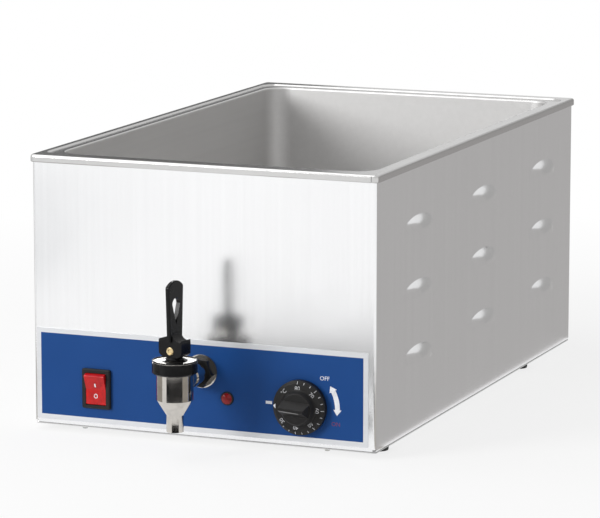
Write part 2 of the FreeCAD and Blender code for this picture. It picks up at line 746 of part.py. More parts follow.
# ---------------------------------------------------------------- rim and well
def rim_frame():
    overhang = LIP_T + LIP_GAP
    width = CASE_W + 2 * overhang
    depth = CASE_D + 2 * overhang
    skin = slab(width, depth, RIM_CORNER_R, LIP_Z, TOP_Z)
    skin = rounded_at(skin, RIM_TOP_R, TOP_Z)
    skin = skin.makeChamfer(RIM_HEM, level_edges(skin, LIP_Z))
    inner_w = width - 2 * LIP_T
    inner_d = depth - 2 * LIP_T
    hollow = slab(inner_w, inner_d, RIM_CORNER_R - LIP_T, LIP_Z - PAST, TOP_Z - RIM_T)
    seat = (POCKET_W, POCKET_L, POCKET_R)
    spread = 2 * POCKET_SLOPE
    lip = (POCKET_W + spread, POCKET_L + spread, POCKET_R + POCKET_SLOPE)
    pocket = tapered(lip, seat, TOP_Z, LEDGE_Z)
    under_seat = tuple(value + 2 * RIM_T for value in seat[:2]) + (POCKET_R + RIM_T,)
    under_lip = tuple(value + 2 * RIM_T for value in lip[:2]) + (POCKET_R + POCKET_SLOPE + RIM_T,)
    dish = tapered(under_lip, under_seat, TOP_Z - RIM_T, LEDGE_Z - RIM_T)
    frame = skin.cut(hollow).fuse(dish).cut(pocket)
    collar_w = WELL_W + 2 * RIM_T
    collar_l = WELL_L + 2 * RIM_T
    collar = slab(collar_w, collar_l, WELL_R + RIM_T, LEDGE_Z - COLLAR_H, LEDGE_Z - RIM_T)
    frame = frame.fuse(collar).removeSplitter()
    frame = frame.cut(slab(WELL_W, WELL_L, WELL_R, LEDGE_Z - COLLAR_H - PAST, TOP_Z))
    half_w = WELL_W / 2 + TOUCH
    half_l = WELL_L / 2 + TOUCH
    mouth = FreeCAD.BoundBox(-half_w, MID_Y - half_l, LEDGE_Z - PAST, half_w, MID_Y + half_l, TOP_Z)
    inner = [edge for edge in level_edges(frame, LEDGE_Z) if mouth.isInside(edge.BoundBox)]
    frame = frame.makeFillet(WELL_EDGE_R, inner)
    slit_x = CASE_W / 2 - SLIT_FROM_EDGE
    slit = block(
        slit_x - SLIT_W / 2,
        slit_x + SLIT_W / 2,
        FRONT - overhang - PAST,
        FRONT,
        LIP_Z - PAST,
        TOP_Z - RIM_T,
    )
    return frame.cut(slit)


def well_tank():
    top = LEDGE_Z - COLLAR_H
    outer = slab(WELL_W + 2 * TANK_T, WELL_L + 2 * TANK_T, WELL_R + TANK_T, TANK_UNDER, top)
    outer = rounded_at(outer, WELL_FLOOR_R + TANK_T, TANK_UNDER)
    inner = slab(WELL_W, WELL_L, WELL_R, WELL_FLOOR_Z, top + PAST)
    inner = rounded_at(inner, WELL_FLOOR_R, WELL_FLOOR_Z)
    below = V(0, FRONT + DRAIN_Y, TANK_UNDER - PAST)
    drain = rod(DRAIN_R - DRAIN_WALL, below, Z_AXIS, TANK_T + 2 * PAST)
    return outer.cut(inner).cut(drain)


# ---------------------------------------------------------------- controls
def control_label():
    label = bar_y(LABEL_X, EDGE_Z + LABEL_Z, LABEL_W, LABEL_H, LABEL_Y, FRONT)
    upright = [edge for edge in label.Edges if edge.BoundBox.YLength > LABEL_T / 2]
    label = label.makeFillet(LABEL_R, upright)
    label = label.cut(front_openings())
    for place in stat_screw_places():
        start = V(place.x, LABEL_Y - PAST, place.z)
        label = label.cut(rod(STAT_SCREW_HEAD_R + LABEL_CLEAR, start, Y_AXIS, LABEL_T + PAST))
    return label


def rocker_housing():
    front = LABEL_Y - BEZEL_OUT
    bezel = bar_y(SWITCH.x, SWITCH.z, BEZEL_W, BEZEL_H, front, LABEL_Y)
    bezel = bezel.makeFillet(BEZEL_R, [e for e in bezel.Edges if e.BoundBox.YLength > BEZEL_OUT / 2])
    brim = [e for e in bezel.Edges if e.BoundBox.YMax < front + TOUCH]
    bezel = bezel.makeChamfer(BEZEL_CHAMFER, brim)
    body = bar_y(SWITCH.x, SWITCH.z, SWITCH_BODY_W, SWITCH_BODY_H, LABEL_Y, LABEL_Y + SWITCH_BODY_D)
    housing = bezel.fuse(body)
    for sz in (-1, 1):
        root = V(SWITCH.x - LATCH_W / 2, INNER_Y, SWITCH.z + sz * SWITCH_BODY_H / 2)
        latch = [root, root + V(0, 0, sz * LATCH_H), root + V(0, LATCH_L, 0), root]
        housing = housing.fuse(Part.Face(Part.makePolygon(latch)).extrude(V(LATCH_W, 0, 0)))
    swing = ROCKER_R + ROCKER_GAP
    width = ROCKER_W + 2 * ROCKER_GAP
    pocket = rod(swing, SWITCH - V(width / 2, 0, 0), X_AXIS, width)
    mouth = bar_y(SWITCH.x, SWITCH.z, width, 2 * swing, front - PAST, SWITCH.y)
    deep = bar_y(SWITCH.x, SWITCH.z, width, 2 * swing, front - PAST, SWITCH.y + ROCKER_WELL)
    pocket = pocket.fuse(mouth).common(deep)
    housing = housing.cut(pocket)
    span = width + 2 * TRUNNION_L
    bore = rod(TRUNNION_R + STEM_FIT, SWITCH - V(span / 2, 0, 0), X_AXIS, span)
    return housing.cut(bore).removeSplitter()


def rocker_button():
    """Translucent rocker, drawn halfway and then pressed to off (lower end in)."""
    end_z = math.sqrt(ROCKER_R**2 - ROCKER_END**2)
    valley = ROCKER_END - end_z * math.tan(math.radians(ROCKER_TILT / 2))
    skirt_z = math.sqrt(ROCKER_R**2 - ROCKER_SKIRT**2) - ROCKER_SKIRT_IN
    at = lambda out, z: V(0, -out, z)
    edges = [
        Part.makeLine(at(ROCKER_END, -end_z), at(valley, 0)),
        Part.makeLine(at(valley, 0), at(ROCKER_END, end_z)),
        Part.Arc(at(ROCKER_END, end_z), at(0, ROCKER_R), at(-ROCKER_SKIRT, skirt_z)).toShape(),
        Part.makeLine(at(-ROCKER_SKIRT, skirt_z), at(-ROCKER_SKIRT, -skirt_z)),
        Part.Arc(at(-ROCKER_SKIRT, -skirt_z), at(0, -ROCKER_R), at(ROCKER_END, -end_z)).toShape(),
    ]
    side = Part.Face(Part.Wire(edges))
    rocker = side.extrude(V(ROCKER_W, 0, 0))
    rocker.translate(V(-ROCKER_W / 2, 0, 0))
    crisp = []
    for edge in rocker.Edges:
        box = edge.BoundBox
        if box.XLength > ROCKER_W / 2 and box.YMax < -ROCKER_END + TOUCH:
            crisp.append(edge)
    rocker = rocker.makeFillet(ROCKER_EDGE_R, crisp)
    inner = ROCKER_W / 2 - ROCKER_WALL
    hollow_z = ROCKER_R - ROCKER_END
    rear = ROCKER_SKIRT + PAST
    rocker = rocker.cut(block(-inner, inner, -ROCKER_WALL / 2, rear, -hollow_z, hollow_z))
    reach = ROCKER_W / 2 + ROCKER_GAP + TRUNNION_L - STEM_FIT
    for sx in (-1, 1):
        rocker = rocker.fuse(rod(TRUNNION_R, V(sx * inner, 0, 0), V(sx, 0, 0), reach - inner))
    rocker.rotate(V(0, 0, 0), X_AXIS, ROCKER_TILT / 2)
    rocker.translate(SWITCH)
    return rocker.removeSplitter()


def spades(centre_x, centre_z, y, pitch_x, pitch_z):
    pins = []
    for sx in (-1, 1):
        for sz in (-1, 1):
            x = centre_x + sx * pitch_x / 2
            z = centre_z + sz * pitch_z / 2
            blade = bar_y(x, z, SPADE_T, SPADE_W, y, y + SPADE_L)
            hole = V(x - SPADE_T, y + SPADE_L - SPADE_HOLE_IN, z)
            blade = blade.cut(rod(SPADE_HOLE_R, hole, X_AXIS, 2 * SPADE_T))
            pins.append(blade)
    return pins


def lamp_body():
    flange = turned(
        [
            (0, 0),
            (LAMP_BEZEL_R, 0),
            (LAMP_BEZEL_R, LAMP_BEZEL_RIM),
            (LAMP_BEZEL_R - LAMP_BEZEL_BEVEL, LAMP_BEZEL_OUT),
            (0, LAMP_BEZEL_OUT),
        ],
        LAMP,
        V(0, -1, 0),
    )
    barrel = rod(LAMP_BARREL_R, LAMP, Y_AXIS, LAMP_BARREL_L)
    face = LAMP - V(0, LAMP_BEZEL_OUT, 0)
    socket = rod(LAMP_LENS_R, face - V(0, PAST, 0), Y_AXIS, LAMP_SOCKET + PAST)
    bulb = rod(LAMP_BARREL_R - LAMP_WALL, face, Y_AXIS, LAMP_BEZEL_OUT + LAMP_BULB_L)
    body = flange.fuse(barrel).cut(socket).cut(bulb)
    rear = LAMP.y + LAMP_BARREL_L
    for sz in (-1, 1):
        z = LAMP.z + sz * LAMP_BARREL_R / 2
        body = body.fuse(bar_y(LAMP.x, z, LAMP_TAB_W, SPADE_T, rear, rear + LAMP_TAB_L))
    return body.removeSplitter()


def lamp_lens():
    """Low dome on a short plug, seated in the body's socket."""
    out = V(0, -1, 0)
    radius = LAMP_LENS_R - STEM_FIT
    rise = LAMP_LENS_OUT - LAMP_BEZEL_OUT
    ball = (radius**2 + rise**2) / (2 * rise)
    plug = rod(radius, LAMP + out * (LAMP_BEZEL_OUT - LAMP_SOCKET), out, 2 * LAMP_LENS_OUT)
    return plug.common(Part.makeSphere(ball, LAMP + out * (LAMP_LENS_OUT - ball)))


def lamp_nut():
    start = V(LAMP.x, INNER_Y, LAMP.z)
    nut = hexagon(LAMP_NUT_AF, start, Y_AXIS, LAMP_NUT_H, 0, LAMP_NUT_BEVEL)
    return nut.cut(rod(LAMP_BARREL_R, start - V(0, PAST, 0), Y_AXIS, LAMP_NUT_H + 2 * PAST))


def thermostat_body():
    seat = INNER_Y + STAT_EAR_T
    rear = seat + STAT_BODY_D
    plate = bar_y(STAT.x, STAT.z, STAT_EAR_W, STAT_BODY_H, INNER_Y, seat)
    body = bar_y(STAT.x, STAT.z, STAT_BODY_W, STAT_BODY_H, seat, rear)
    body = body.makeFillet(STAT_EDGE_R, [e for e in body.Edges if e.BoundBox.YLength > STAT_BODY_D / 2])
    body = body.fuse([plate, rod(BUSH_R, STAT, Y_AXIS, seat - LABEL_Y)])
    body = body.cut(rod(SPINDLE_R + STEM_FIT, STAT - V(0, PAST, 0), Y_AXIS, SPINDLE_INSIDE + 2 * PAST))
    for place in stat_screw_places():
        body = body.cut(rod(M4_R, place, Y_AXIS, STAT_SCREW_L))
    for sx in (-1, 1):
        x = STAT.x + sx * SPADE_PITCH_X
        body = body.fuse(bar_y(x, STAT.z - SPADE_PITCH_X, SPADE_T, SPADE_W, rear, rear + SPADE_L))
    return body.removeSplitter()


def on_dial(shape):
    """Turn a piece drawn with x to the right and z outwards onto the thermostat's axis."""
    shape.rotate(V(0, 0, 0), Z_AXIS, -GRIP_TURN)
    shape.rotate(V(0, 0, 0), X_AXIS, 90)
    shape.translate(STAT)
    return shape


def spindle_flat():
    reach = 2 * SPINDLE_R
    return block(-reach, reach, SPINDLE_R - SPINDLE_FLAT, reach, SPINDLE_FLAT_Z, SPINDLE_OUT + PAST)


def thermostat_spindle():
    spindle = rod(SPINDLE_R, V(0, 0, -SPINDLE_INSIDE), Z_AXIS, SPINDLE_INSIDE + SPINDLE_OUT)
    return on_dial(spindle.cut(spindle_flat()))


def thermostat_knob():
    """Skirted knob with a wedge-shaped finger grip, turned to off."""
    out = Z_AXIS
    shell = turned(
        [
            (0, KNOB_GAP),
            (KNOB_R, KNOB_GAP),
            (KNOB_R, KNOB_GAP + KNOB_EDGE),
            (SKIRT_TOP_R, SKIRT_OUT),
            (HUB_BASE_R + HUB_FOOT_W, SKIRT_OUT + HUB_FOOT_H),
            (HUB_BASE_R, SKIRT_OUT + HUB_FOOT_TOP),
            (HUB_R, HUB_OUT - HUB_BEVEL),
            (HUB_R - HUB_BEVEL, HUB_OUT),
            (0, HUB_OUT),
        ],
        V(0, 0, 0),
        out,
    )
    foot = HUB_OUT - GRIP_FOOT
    crest = GRIP_OUT + TOUCH
    section = [
        V(0, -GRIP_BASE, foot),
        V(0, GRIP_BASE, foot),
        V(0, GRIP_BASE - GRIP_FOOT, HUB_OUT),
        V(0, GRIP_CREST, GRIP_OUT),
        V(0, -GRIP_CREST, GRIP_OUT),
        V(0, GRIP_FOOT - GRIP_BASE, HUB_OUT),
        V(0, -GRIP_BASE, foot),
    ]
    grip = Part.Face(Part.makePolygon(section)).extrude(V(2 * HUB_R, 0, 0))
    grip.translate(V(-HUB_R, 0, 0))
    grip = grip.common(rod(HUB_R - GRIP_IN, V(0, 0, foot), out, GRIP_OUT))
    tail = [
        V(GRIP_TAIL, -HUB_R, crest),
        V(HUB_R + PAST, -HUB_R, crest),
        V(HUB_R + PAST, -HUB_R, HUB_OUT),
        V(HUB_R - GRIP_SHOULDER, -HUB_R, HUB_OUT),
        V(GRIP_TAIL, -HUB_R, crest),
    ]
    grip = grip.cut(Part.Face(Part.makePolygon(tail)).extrude(V(0, 2 * HUB_R, 0)))
    knob = shell.fuse(grip).removeSplitter()
    knob = knob.cut(rod(KNOB_HOLLOW_R, V(0, 0, 0), out, KNOB_GAP + KNOB_HOLLOW))
    socket = rod(SPINDLE_R, V(0, 0, 0), out, SPINDLE_OUT)
    return on_dial(knob.cut(socket.cut(spindle_flat())))


def thermostat_screws():
    screws = []
    for place in stat_screw_places():
        shank = rod(M4_R, place, Y_AXIS, STAT_SCREW_L)
        screws.append(countersunk_head(place).fuse(shank).removeSplitter())
    return screws


def capillary_tube():
    """Thin tube from the thermostat's top to the bulb under the well."""
    start = V(STAT.x + CAPILLARY_X, INNER_Y + STAT_EAR_T + STAT_BODY_D / 2, STAT.z + STAT_BODY_H / 2)
    end = V(BULB_X + BULB_L / 2, FRONT + BULB_Y, TANK_UNDER - BULB_R)
    above = start + V(0, 0, CAPILLARY_RISE)
    beside = V(end.x + CAPILLARY_OUT, start.y + CAPILLARY_OUT, above.z)
    before = end + V(CAPILLARY_OUT, 0, 0)
    path = bent_path([start, above, beside, before, end], CAPILLARY_BEND_R)
    section = Part.Face(Part.Wire(Part.makeCircle(CAPILLARY_R, start, Z_AXIS)))
    return path.makePipe(section)


def sensor_bulb():
    z = TANK_UNDER - BULB_R
    return rod(BULB_R, V(BULB_X - BULB_L / 2, FRONT + BULB_Y, z), X_AXIS, BULB_L)


def bulb_clips():
    clips = []
    z = TANK_UNDER - BULB_R
    y = FRONT + BULB_Y
    for side in (-1, 1):
        x = BULB_X + side * BULB_CLIP_PITCH / 2 - BULB_CLIP_W / 2
        saddle = rod(BULB_R + BULB_CLIP_T, V(x, y, z), X_AXIS, BULB_CLIP_W)
        saddle = saddle.fuse(
            block(x, x + BULB_CLIP_W, y - BULB_R - BULB_CLIP_T, y + BULB_R + BULB_CLIP_T, z, TANK_UNDER)
        )
        reach = BULB_R + BULB_CLIP_EAR
        ears = block(x, x + BULB_CLIP_W, y - reach, y + reach, TANK_UNDER - BULB_CLIP_T, TANK_UNDER)
        bed = rod(BULB_R, V(x - PAST, y, z), X_AXIS, BULB_CLIP_W + 2 * PAST)
        above = block(x - PAST, x + BULB_CLIP_W + PAST, y - BULB_R, y + BULB_R, z, TANK_UNDER + PAST)
        clips.append(saddle.fuse(ears).cut(bed.fuse(above)).removeSplitter())
    return clips


# ---------------------------------------------------------------- tap
def at_tap(z):
    return V(0, TAP_Y, SHANK_Z + z)


def tap_body():
    top = RING_BOTTOM + THREAD_L
    body = turned(
        [
            (0, SPOUT_BOTTOM),
            (SPOUT_R, SPOUT_BOTTOM),
            (SPOUT_R, CONE_BOTTOM),
            (BODY_R, CONE_TOP),
            (BODY_R, top),
            (0, top),
        ],
        at_tap(0),
    )
    neck = rod(NECK_R, at_tap(0), Y_AXIS, NECK_END)
    shank = rod(SHANK_R, at_tap(0) + V(0, NECK_END, 0), Y_AXIS, TAP_REACH - NECK_END + SHANK_INSIDE)
    barb = rod(DRAIN_R, V(0, FRONT + SHANK_INSIDE, SHANK_Z), Y_AXIS, SHANK_BARB_L)
    body = body.fuse([neck, shank, barb])
    chamber = turned(
        [
            (0, SPOUT_BOTTOM - PAST),
            (SPOUT_BORE_R, SPOUT_BOTTOM - PAST),
            (SPOUT_BORE_R, CHAMBER_FLOOR - THROAT_H),
            (SPOUT_BORE_R + THROAT_W, CHAMBER_FLOOR),
            (CHAMBER_R, CHAMBER_FLOOR),
            (CHAMBER_R, top + PAST),
            (0, top + PAST),
        ],
        at_tap(0),
    )
    passage = rod(SHANK_BORE_R, at_tap(0), Y_AXIS, TAP_REACH + SHANK_INSIDE + SHANK_BARB_L + PAST)
    return body.cut(chamber).cut(passage).removeSplitter()


def bonnet_ring():
    top = RING_BOTTOM + RING_H
    return turned(
        [
            (BODY_R, RING_BOTTOM),
            (RING_R - RING_EDGE_R, RING_BOTTOM),
            (RING_R, RING_BOTTOM + RING_EDGE_R),
            (RING_R, top - RING_BEVEL),
            (RING_R - RING_BEVEL, top),
            (SPIGOT_R, top),
            (SPIGOT_R, RING_BOTTOM + THREAD_L),
            (BODY_R, RING_BOTTOM + THREAD_L),
        ],
        at_tap(0),
    )


def bonnet_cap():
    low = RING_BOTTOM + RING_H
    edge = RING_R - CAP_INSET
    return turned(
        [
            (SPIGOT_R, low),
            (RING_R - RING_BEVEL, low),
            (edge, low + CAP_T - CAP_EDGE_R),
            (edge - CAP_EDGE_R, low + CAP_T),
            (SPIGOT_R, low + CAP_T),
        ],
        at_tap(0),
    )


def bonnet_boss():
    low = RING_BOTTOM + RING_H + CAP_T
    top = PIN_Z - CAM_REST - CAM_GAP
    return turned(
        [
            (STEM_R + STEM_FIT, low - SPIGOT_L),
            (SPIGOT_R, low - SPIGOT_L),
            (SPIGOT_R, low),
            (BOSS_BASE_R, low),
            (BOSS_BASE_R, low + BOSS_BASE_H),
            (BOSS_R + BOSS_FLARE_W, low + BOSS_FLARE_H),
            (BOSS_R, top - BOSS_FLAT),
            (BOSS_R, top),
            (STEM_R + STEM_FIT, top),
        ],
        at_tap(0),
    )


def seat_cup():
    """Silicone seat that closes the outlet and holds the stem's foot."""
    low = CHAMBER_FLOOR
    foot_low = STEM_FOOT_Z - STEM_FOOT_T - STEM_FIT
    foot_high = STEM_FOOT_Z + STEM_FIT
    return turned(
        [
            (0, low),
            (SEAT_R, low),
            (SEAT_R, low + SEAT_RIM_H),
            (SEAT_NECK_R, low + SEAT_CONE_H),
            (SEAT_NECK_R, SEAT_TOP),
            (STEM_R + STEM_FIT, SEAT_TOP),
            (STEM_R + STEM_FIT, foot_high),
            (STEM_FOOT_R + STEM_FIT, foot_high),
            (STEM_FOOT_R + STEM_FIT, foot_low),
            (0, foot_low),
        ],
        at_tap(0),
    )


def tap_stem():
    stem = turned(
        [
            (0, STEM_FOOT_Z - STEM_FOOT_T),
            (STEM_FOOT_R, STEM_FOOT_Z - STEM_FOOT_T),
            (STEM_FOOT_R, STEM_FOOT_Z),
            (STEM_R, STEM_FOOT_Z),
            (STEM_R, PIN_Z + STEM_TIP - STEM_BEVEL),
            (STEM_R - STEM_BEVEL, PIN_Z + STEM_TIP),
            (0, PIN_Z + STEM_TIP),
        ],
        at_tap(0),
    )
    return stem.cut(rod(PIN_R, PIN - PIN_AXIS * CAM_HALF_T, PIN_AXIS, 2 * CAM_HALF_T))


def pivot_pin():
    """Hollow-headed pin; the head shows at the front."""
    shank = rod(PIN_R, PIN - PIN_AXIS * CAM_HALF_T, PIN_AXIS, 2 * CAM_HALF_T)
    head = turned(
        [
            (0, 0),
            (PIN_HEAD_R, 0),
            (PIN_HEAD_R, PIN_HEAD_RIM),
            (PIN_HEAD_R - PIN_HEAD_BEVEL, PIN_HEAD_T),
            (PIN_CUP_R, PIN_HEAD_T),
            (PIN_CUP_FLOOR_R, PIN_HEAD_T - PIN_CUP),
            (0, PIN_HEAD_T - PIN_CUP),
        ],
        PIN + PIN_AXIS * CAM_HALF_T,
        PIN_AXIS,
    )
    tail = rod(PIN_TAIL_R, PIN - PIN_AXIS * CAM_HALF_T, PIN_AXIS * -1, PIN_TAIL_T)
    return shank.fuse([head, tail]).removeSplitter()


def cam_flank():
    """Points of the involute under the cam: it lifts evenly as the handle tilts."""
    points = []
    steps = 6
    for k in range(steps + 1):
        phi = math.radians(CAM_TILT) * k / steps
        reach = CAM_REST + CAM_RISE * phi
        out = reach * math.sin(phi) + CAM_RISE * math.cos(phi)
        down = reach * math.cos(phi) - CAM_RISE * math.sin(phi)
        points.append(V(out, 0, -down))
    return points


def mirrored(point):
    return V(-point.x, point.y, point.z)


def tap_handle():
    """Looped lever on a cam; drawn with the pin along Y and tilting towards +X."""
    flank = cam_flank()
    curve = Part.BSplineCurve()
    curve.interpolate(flank)
    other = Part.BSplineCurve()
    other.interpolate([mirrored(p) for p in flank])
    side = V(CAM_SIDE, 0, CAM_SIDE_Z)
    horn = V(CAM_SIDE - CAM_HORN_LEAN, 0, CAM_HORN_Z)
    horn_in = V(CAM_SIDE - CAM_HORN_T, 0, CAM_DIP_Z)
    swell = V(CAM_SWELL_X, 0, CAM_SWELL_Z)
    root = V(BLADE_T / 2 - CAM_ROOT_IN, 0, BLADE_ROOT_Z)
    edges = [Part.makeLine(mirrored(flank[0]), flank[0]), curve.toShape()]
    edges.append(Part.Arc(flank[-1], side, horn).toShape())
    edges.append(Part.makeLine(horn, horn_in))
    edges.append(Part.Arc(horn_in, swell, root).toShape())
    edges.append(Part.makeLine(root, mirrored(root)))
    edges.append(Part.Arc(mirrored(root), mirrored(swell), mirrored(horn_in)).toShape())
    edges.append(Part.makeLine(mirrored(horn_in), mirrored(horn)))
    edges.append(Part.Arc(mirrored(horn), mirrored(side), mirrored(flank[-1])).toShape())
    edges.append(other.toShape())
    cam = Part.Face(Part.Wire(Part.__sortEdges__(edges))).extrude(V(0, 2 * CAM_HALF_T, 0))
    cam.translate(V(0, -CAM_HALF_T, 0))
    handle = cam.fuse(handle_blade())
    handle = handle.cut(stem_way())
    handle = handle.cut(rod(PIN_R + STEM_FIT, V(0, -2 * CAM_HALF_T, 0), Y_AXIS, 4 * CAM_HALF_T))
    handle.rotate(V(0, 0, 0), Z_AXIS, -math.degrees(SWING))
    handle.translate(PIN)
    return handle.removeSplitter()


def stem_way():
    """Slot that the stem passes through, from upright to fully tilted."""
    reach = CAM_SIDE + CAM_REST
    half = STEM_R + STEM_SIDE_GAP
    tip = math.hypot(STEM_R, STEM_TIP) + STEM_SIDE_GAP
    tilt = math.radians(CAM_TILT)
    low = V(0, -FORK_W / 2, 0)
    upright = block(-half, half, -FORK_W / 2, FORK_W / 2, -reach, 0)
    tilted = upright.copy()
    tilted.rotate(V(0, 0, 0), Y_AXIS, -CAM_TILT)
    sector = [
        low,
        low + V(0, 0, -reach),
        low + V(reach * math.tan(tilt / 2), 0, -reach),
        low + V(reach * math.sin(tilt), 0, -reach * math.cos(tilt)),
        low,
    ]
    between = Part.Face(Part.makePolygon(sector)).extrude(V(0, FORK_W, 0))
    return upright.fuse([tilted, between, rod(tip, low, Y_AXIS, FORK_W)])


def handle_blade():
    """Tapered blade with an arched top and a slot that narrows to a point."""
    half_low = BLADE_BASE_W / 2
    half_high = BLADE_TOP_W / 2
    arch_drop = BLADE_ARCH_R - math.sqrt(BLADE_ARCH_R**2 - half_high**2)
    shoulder = BLADE_TOP - arch_drop
    outline = [
        Part.makeLine(V(0, -half_low, CAM_DIP_Z), V(0, -half_high, shoulder)),
        Part.Arc(V(0, -half_high, shoulder), V(0, 0, BLADE_TOP), V(0, half_high, shoulder)).toShape(),
        Part.makeLine(V(0, half_high, shoulder), V(0, half_low, CAM_DIP_Z)),
        Part.makeLine(V(0, half_low, CAM_DIP_Z), V(0, -half_low, CAM_DIP_Z)),
    ]
    blade = Part.Face(Part.Wire(outline)).extrude(V(BLADE_T, 0, 0))
    blade.translate(V(-BLADE_T / 2, 0, 0))
    corners = [
        edge
        for edge in blade.Edges
        if edge.BoundBox.XLength > BLADE_T / 2 and edge.BoundBox.ZMin > BLADE_TOP / 2
    ]
    blade = blade.makeFillet(BLADE_CORNER_R, corners)
    rims = []
    for edge in blade.Edges:
        if edge.BoundBox.XLength < TOUCH and edge.BoundBox.ZMax > CAM_DIP_Z + TOUCH:
            rims.append(edge)
    blade = blade.makeFillet(BLADE_EDGE_R, rims)
    half = SLOT_W / 2
    slot_edges = [
        Part.makeLine(V(0, 0, SLOT_TIP), V(0, half, SLOT_TOP - half)),
        Part.Arc(V(0, half, SLOT_TOP - half), V(0, 0, SLOT_TOP), V(0, -half, SLOT_TOP - half)).toShape(),
        Part.makeLine(V(0, -half, SLOT_TOP - half), V(0, 0, SLOT_TIP)),
    ]
    slot = Part.Face(Part.Wire(slot_edges)).extrude(V(2 * BLADE_T, 0, 0))
    slot.translate(V(-BLADE_T, 0, 0))
    return blade.cut(slot)


def tap_spring():
    low = SEAT_TOP
    high = RING_BOTTOM + RING_H + CAP_T - SPIGOT_L
    height = high - low - 2 * SPRING_WIRE_R
    helix = Part.makeHelix(height / SPRING_TURNS, height, SPRING_R)
    w = SPRING_WIRE_R
    ring = [V(SPRING_R + sx * w, 0, sz * w) for sx, sz in ((1, 1), (-1, 1), (-1, -1), (1, -1), (1, 1))]
    spring = Part.Wire(helix).makePipeShell([Part.makePolygon(ring)], True, True)
    spring.translate(at_tap(low + SPRING_WIRE_R))
    return spring


def shank_washer():
    return tube(WASHER_R, SHANK_R, V(0, LABEL_Y - WASHER_T, SHANK_Z), Y_AXIS, WASHER_T)


def shank_nut():
    start = V(0, LABEL_Y - WASHER_T, SHANK_Z)
    nut = hexagon(NUT_AF, start, V(0, -1, 0), NUT_H, NUT_TURN, NUT_BEVEL)
    return nut.cut(rod(SHANK_R, start - V(0, NUT_H + PAST, 0), Y_AXIS, NUT_H + 2 * PAST))


def shank_lock_nut():
    start = V(0, INNER_Y, SHANK_Z)
    nut = hexagon(LOCK_NUT_AF, start, Y_AXIS, LOCK_NUT_H, 0, NUT_BEVEL)
    return nut.cut(rod(SHANK_R, start - V(0, PAST, 0), Y_AXIS, LOCK_NUT_H + 2 * PAST))


# ---------------------------------------------------------------- drain
def drain_socket():
    base = V(0, FRONT + DRAIN_Y, TANK_UNDER - SOCKET_H)
    return tube(SOCKET_R, DRAIN_R, base, Z_AXIS, SOCKET_H)


def drain_elbow():
    """Short elbow with a ball corner, from the well's floor forwards to the tap."""
    corner = V(0, FRONT + DRAIN_Y, SHANK_Z)

    def filled(radius):
        down = rod(radius, corner, Z_AXIS, TANK_UNDER - SHANK_Z)
        forward = rod(radius, corner, Y_AXIS * -1, DRAIN_Y - DRAIN_END_Y)
        return Part.makeSphere(radius, corner).fuse([down, forward])

    return filled(DRAIN_R).cut(filled(DRAIN_R - DRAIN_WALL)).removeSplitter()


def drain_hose():
    """Silicone sleeve from the elbow to the barb behind the tap's shank."""
    start = FRONT + SHANK_INSIDE + HOSE_GAP
    length = FRONT + DRAIN_END_Y + HOSE_LAP - start
    return tube(DRAIN_R + HOSE_WALL, DRAIN_R, V(0, start, SHANK_Z), Y_AXIS, length)


def hose_clips():
    clips = []
    outer = DRAIN_R + HOSE_WALL
    barb_middle = FRONT + SHANK_INSIDE + SHANK_BARB_L / 2 + CLIP_BACK
    elbow_middle = FRONT + DRAIN_END_Y + HOSE_LAP / 2
    for y in (barb_middle, elbow_middle):
        band = tube(outer + CLIP_T, outer, V(0, y - CLIP_W / 2, SHANK_Z), Y_AXIS, CLIP_W)
        screw_z = SHANK_Z - outer - CLIP_T - CLIP_SCREW_R + CLIP_SCREW_SUNK
        screw = rod(CLIP_SCREW_R, V(-CLIP_SCREW_L / 2, y, screw_z), X_AXIS, CLIP_SCREW_L)
        screw = screw.cut(rod(outer, V(0, y - CLIP_W, SHANK_Z), Y_AXIS, 2 * CLIP_W))
        clips.append(band.fuse(screw).removeSplitter())
    return clips


# ---------------------------------------------------------------- feet and fasteners
def rubber_feet():
    feet = []
    for place in foot_places():
        foot = Part.makeCone(FOOT_R - FOOT_TAPER, FOOT_R, FOOT_H, place, Z_AXIS)
        foot = foot.cut(rod(FOOT_RECESS_R, place - V(0, 0, PAST), Z_AXIS, FOOT_RECESS_H + PAST))
        feet.append(foot.cut(rod(M4_R, place, Z_AXIS, FOOT_H + PAST)))
    return feet


def foot_screws():
    heads = [place + V(0, 0, FOOT_RECESS_H) for place in foot_places()]
    return [hex_screw(place, Z_AXIS, FOOT_SCREW_L) for place in heads]


def foot_nuts():
    return [m4_nut(V(place.x, place.y, FLOOR_TOP)) for place in foot_places()]


def base_screws():
    return [slotted_screw(place, Z_AXIS, BASE_SCREW_L) for place in base_screw_places()]


def rear_screws():
    return [hex_screw(place, V(0, -1, 0), REAR_SCREW_L) for place in rear_screw_places()]


# ---------------------------------------------------------------- heating
def element_path():
    z = TANK_UNDER - ELEMENT_H / 2
    inner = ELEMENT_INNER_X
    front = FRONT + ELEMENT_FRONT
    turn = FRONT + ELEMENT_TURN
    rear = FRONT + ELEMENT_REAR
    half = [V(ELEMENT_X, rear, z), V(ELEMENT_X, front, z), V(inner, front, z), V(inner, turn, z)]
    return half + [V(-p.x, p.y, p.z) for p in reversed(half)]


def heater_element():
    """Flat-pressed sheath in a W, with a round terminal at each end."""
    path = element_path()
    across = ELEMENT_W / 2
    up = ELEMENT_H / 2
    flat = ELEMENT_FLAT / 2
    ring = [(across, up), (-across, up), (-across, -flat), (-flat, -up), (flat, -up), (across, -flat)]
    corners = [path[0] + V(x, 0, z) for x, z in ring + ring[:1]]
    sheath = bent_path(path, ELEMENT_BEND_R).makePipe(Part.Face(Part.makePolygon(corners)))
    for end in (path[0], path[-1]):
        sheath = sheath.fuse(rod(TERMINAL_R, end, Y_AXIS, TERMINAL_L))
        sheath = sheath.fuse(rod(TERMINAL_PIN_R, end, Y_AXIS, TERMINAL_L + TERMINAL_PIN_L))
    return sheath.removeSplitter()


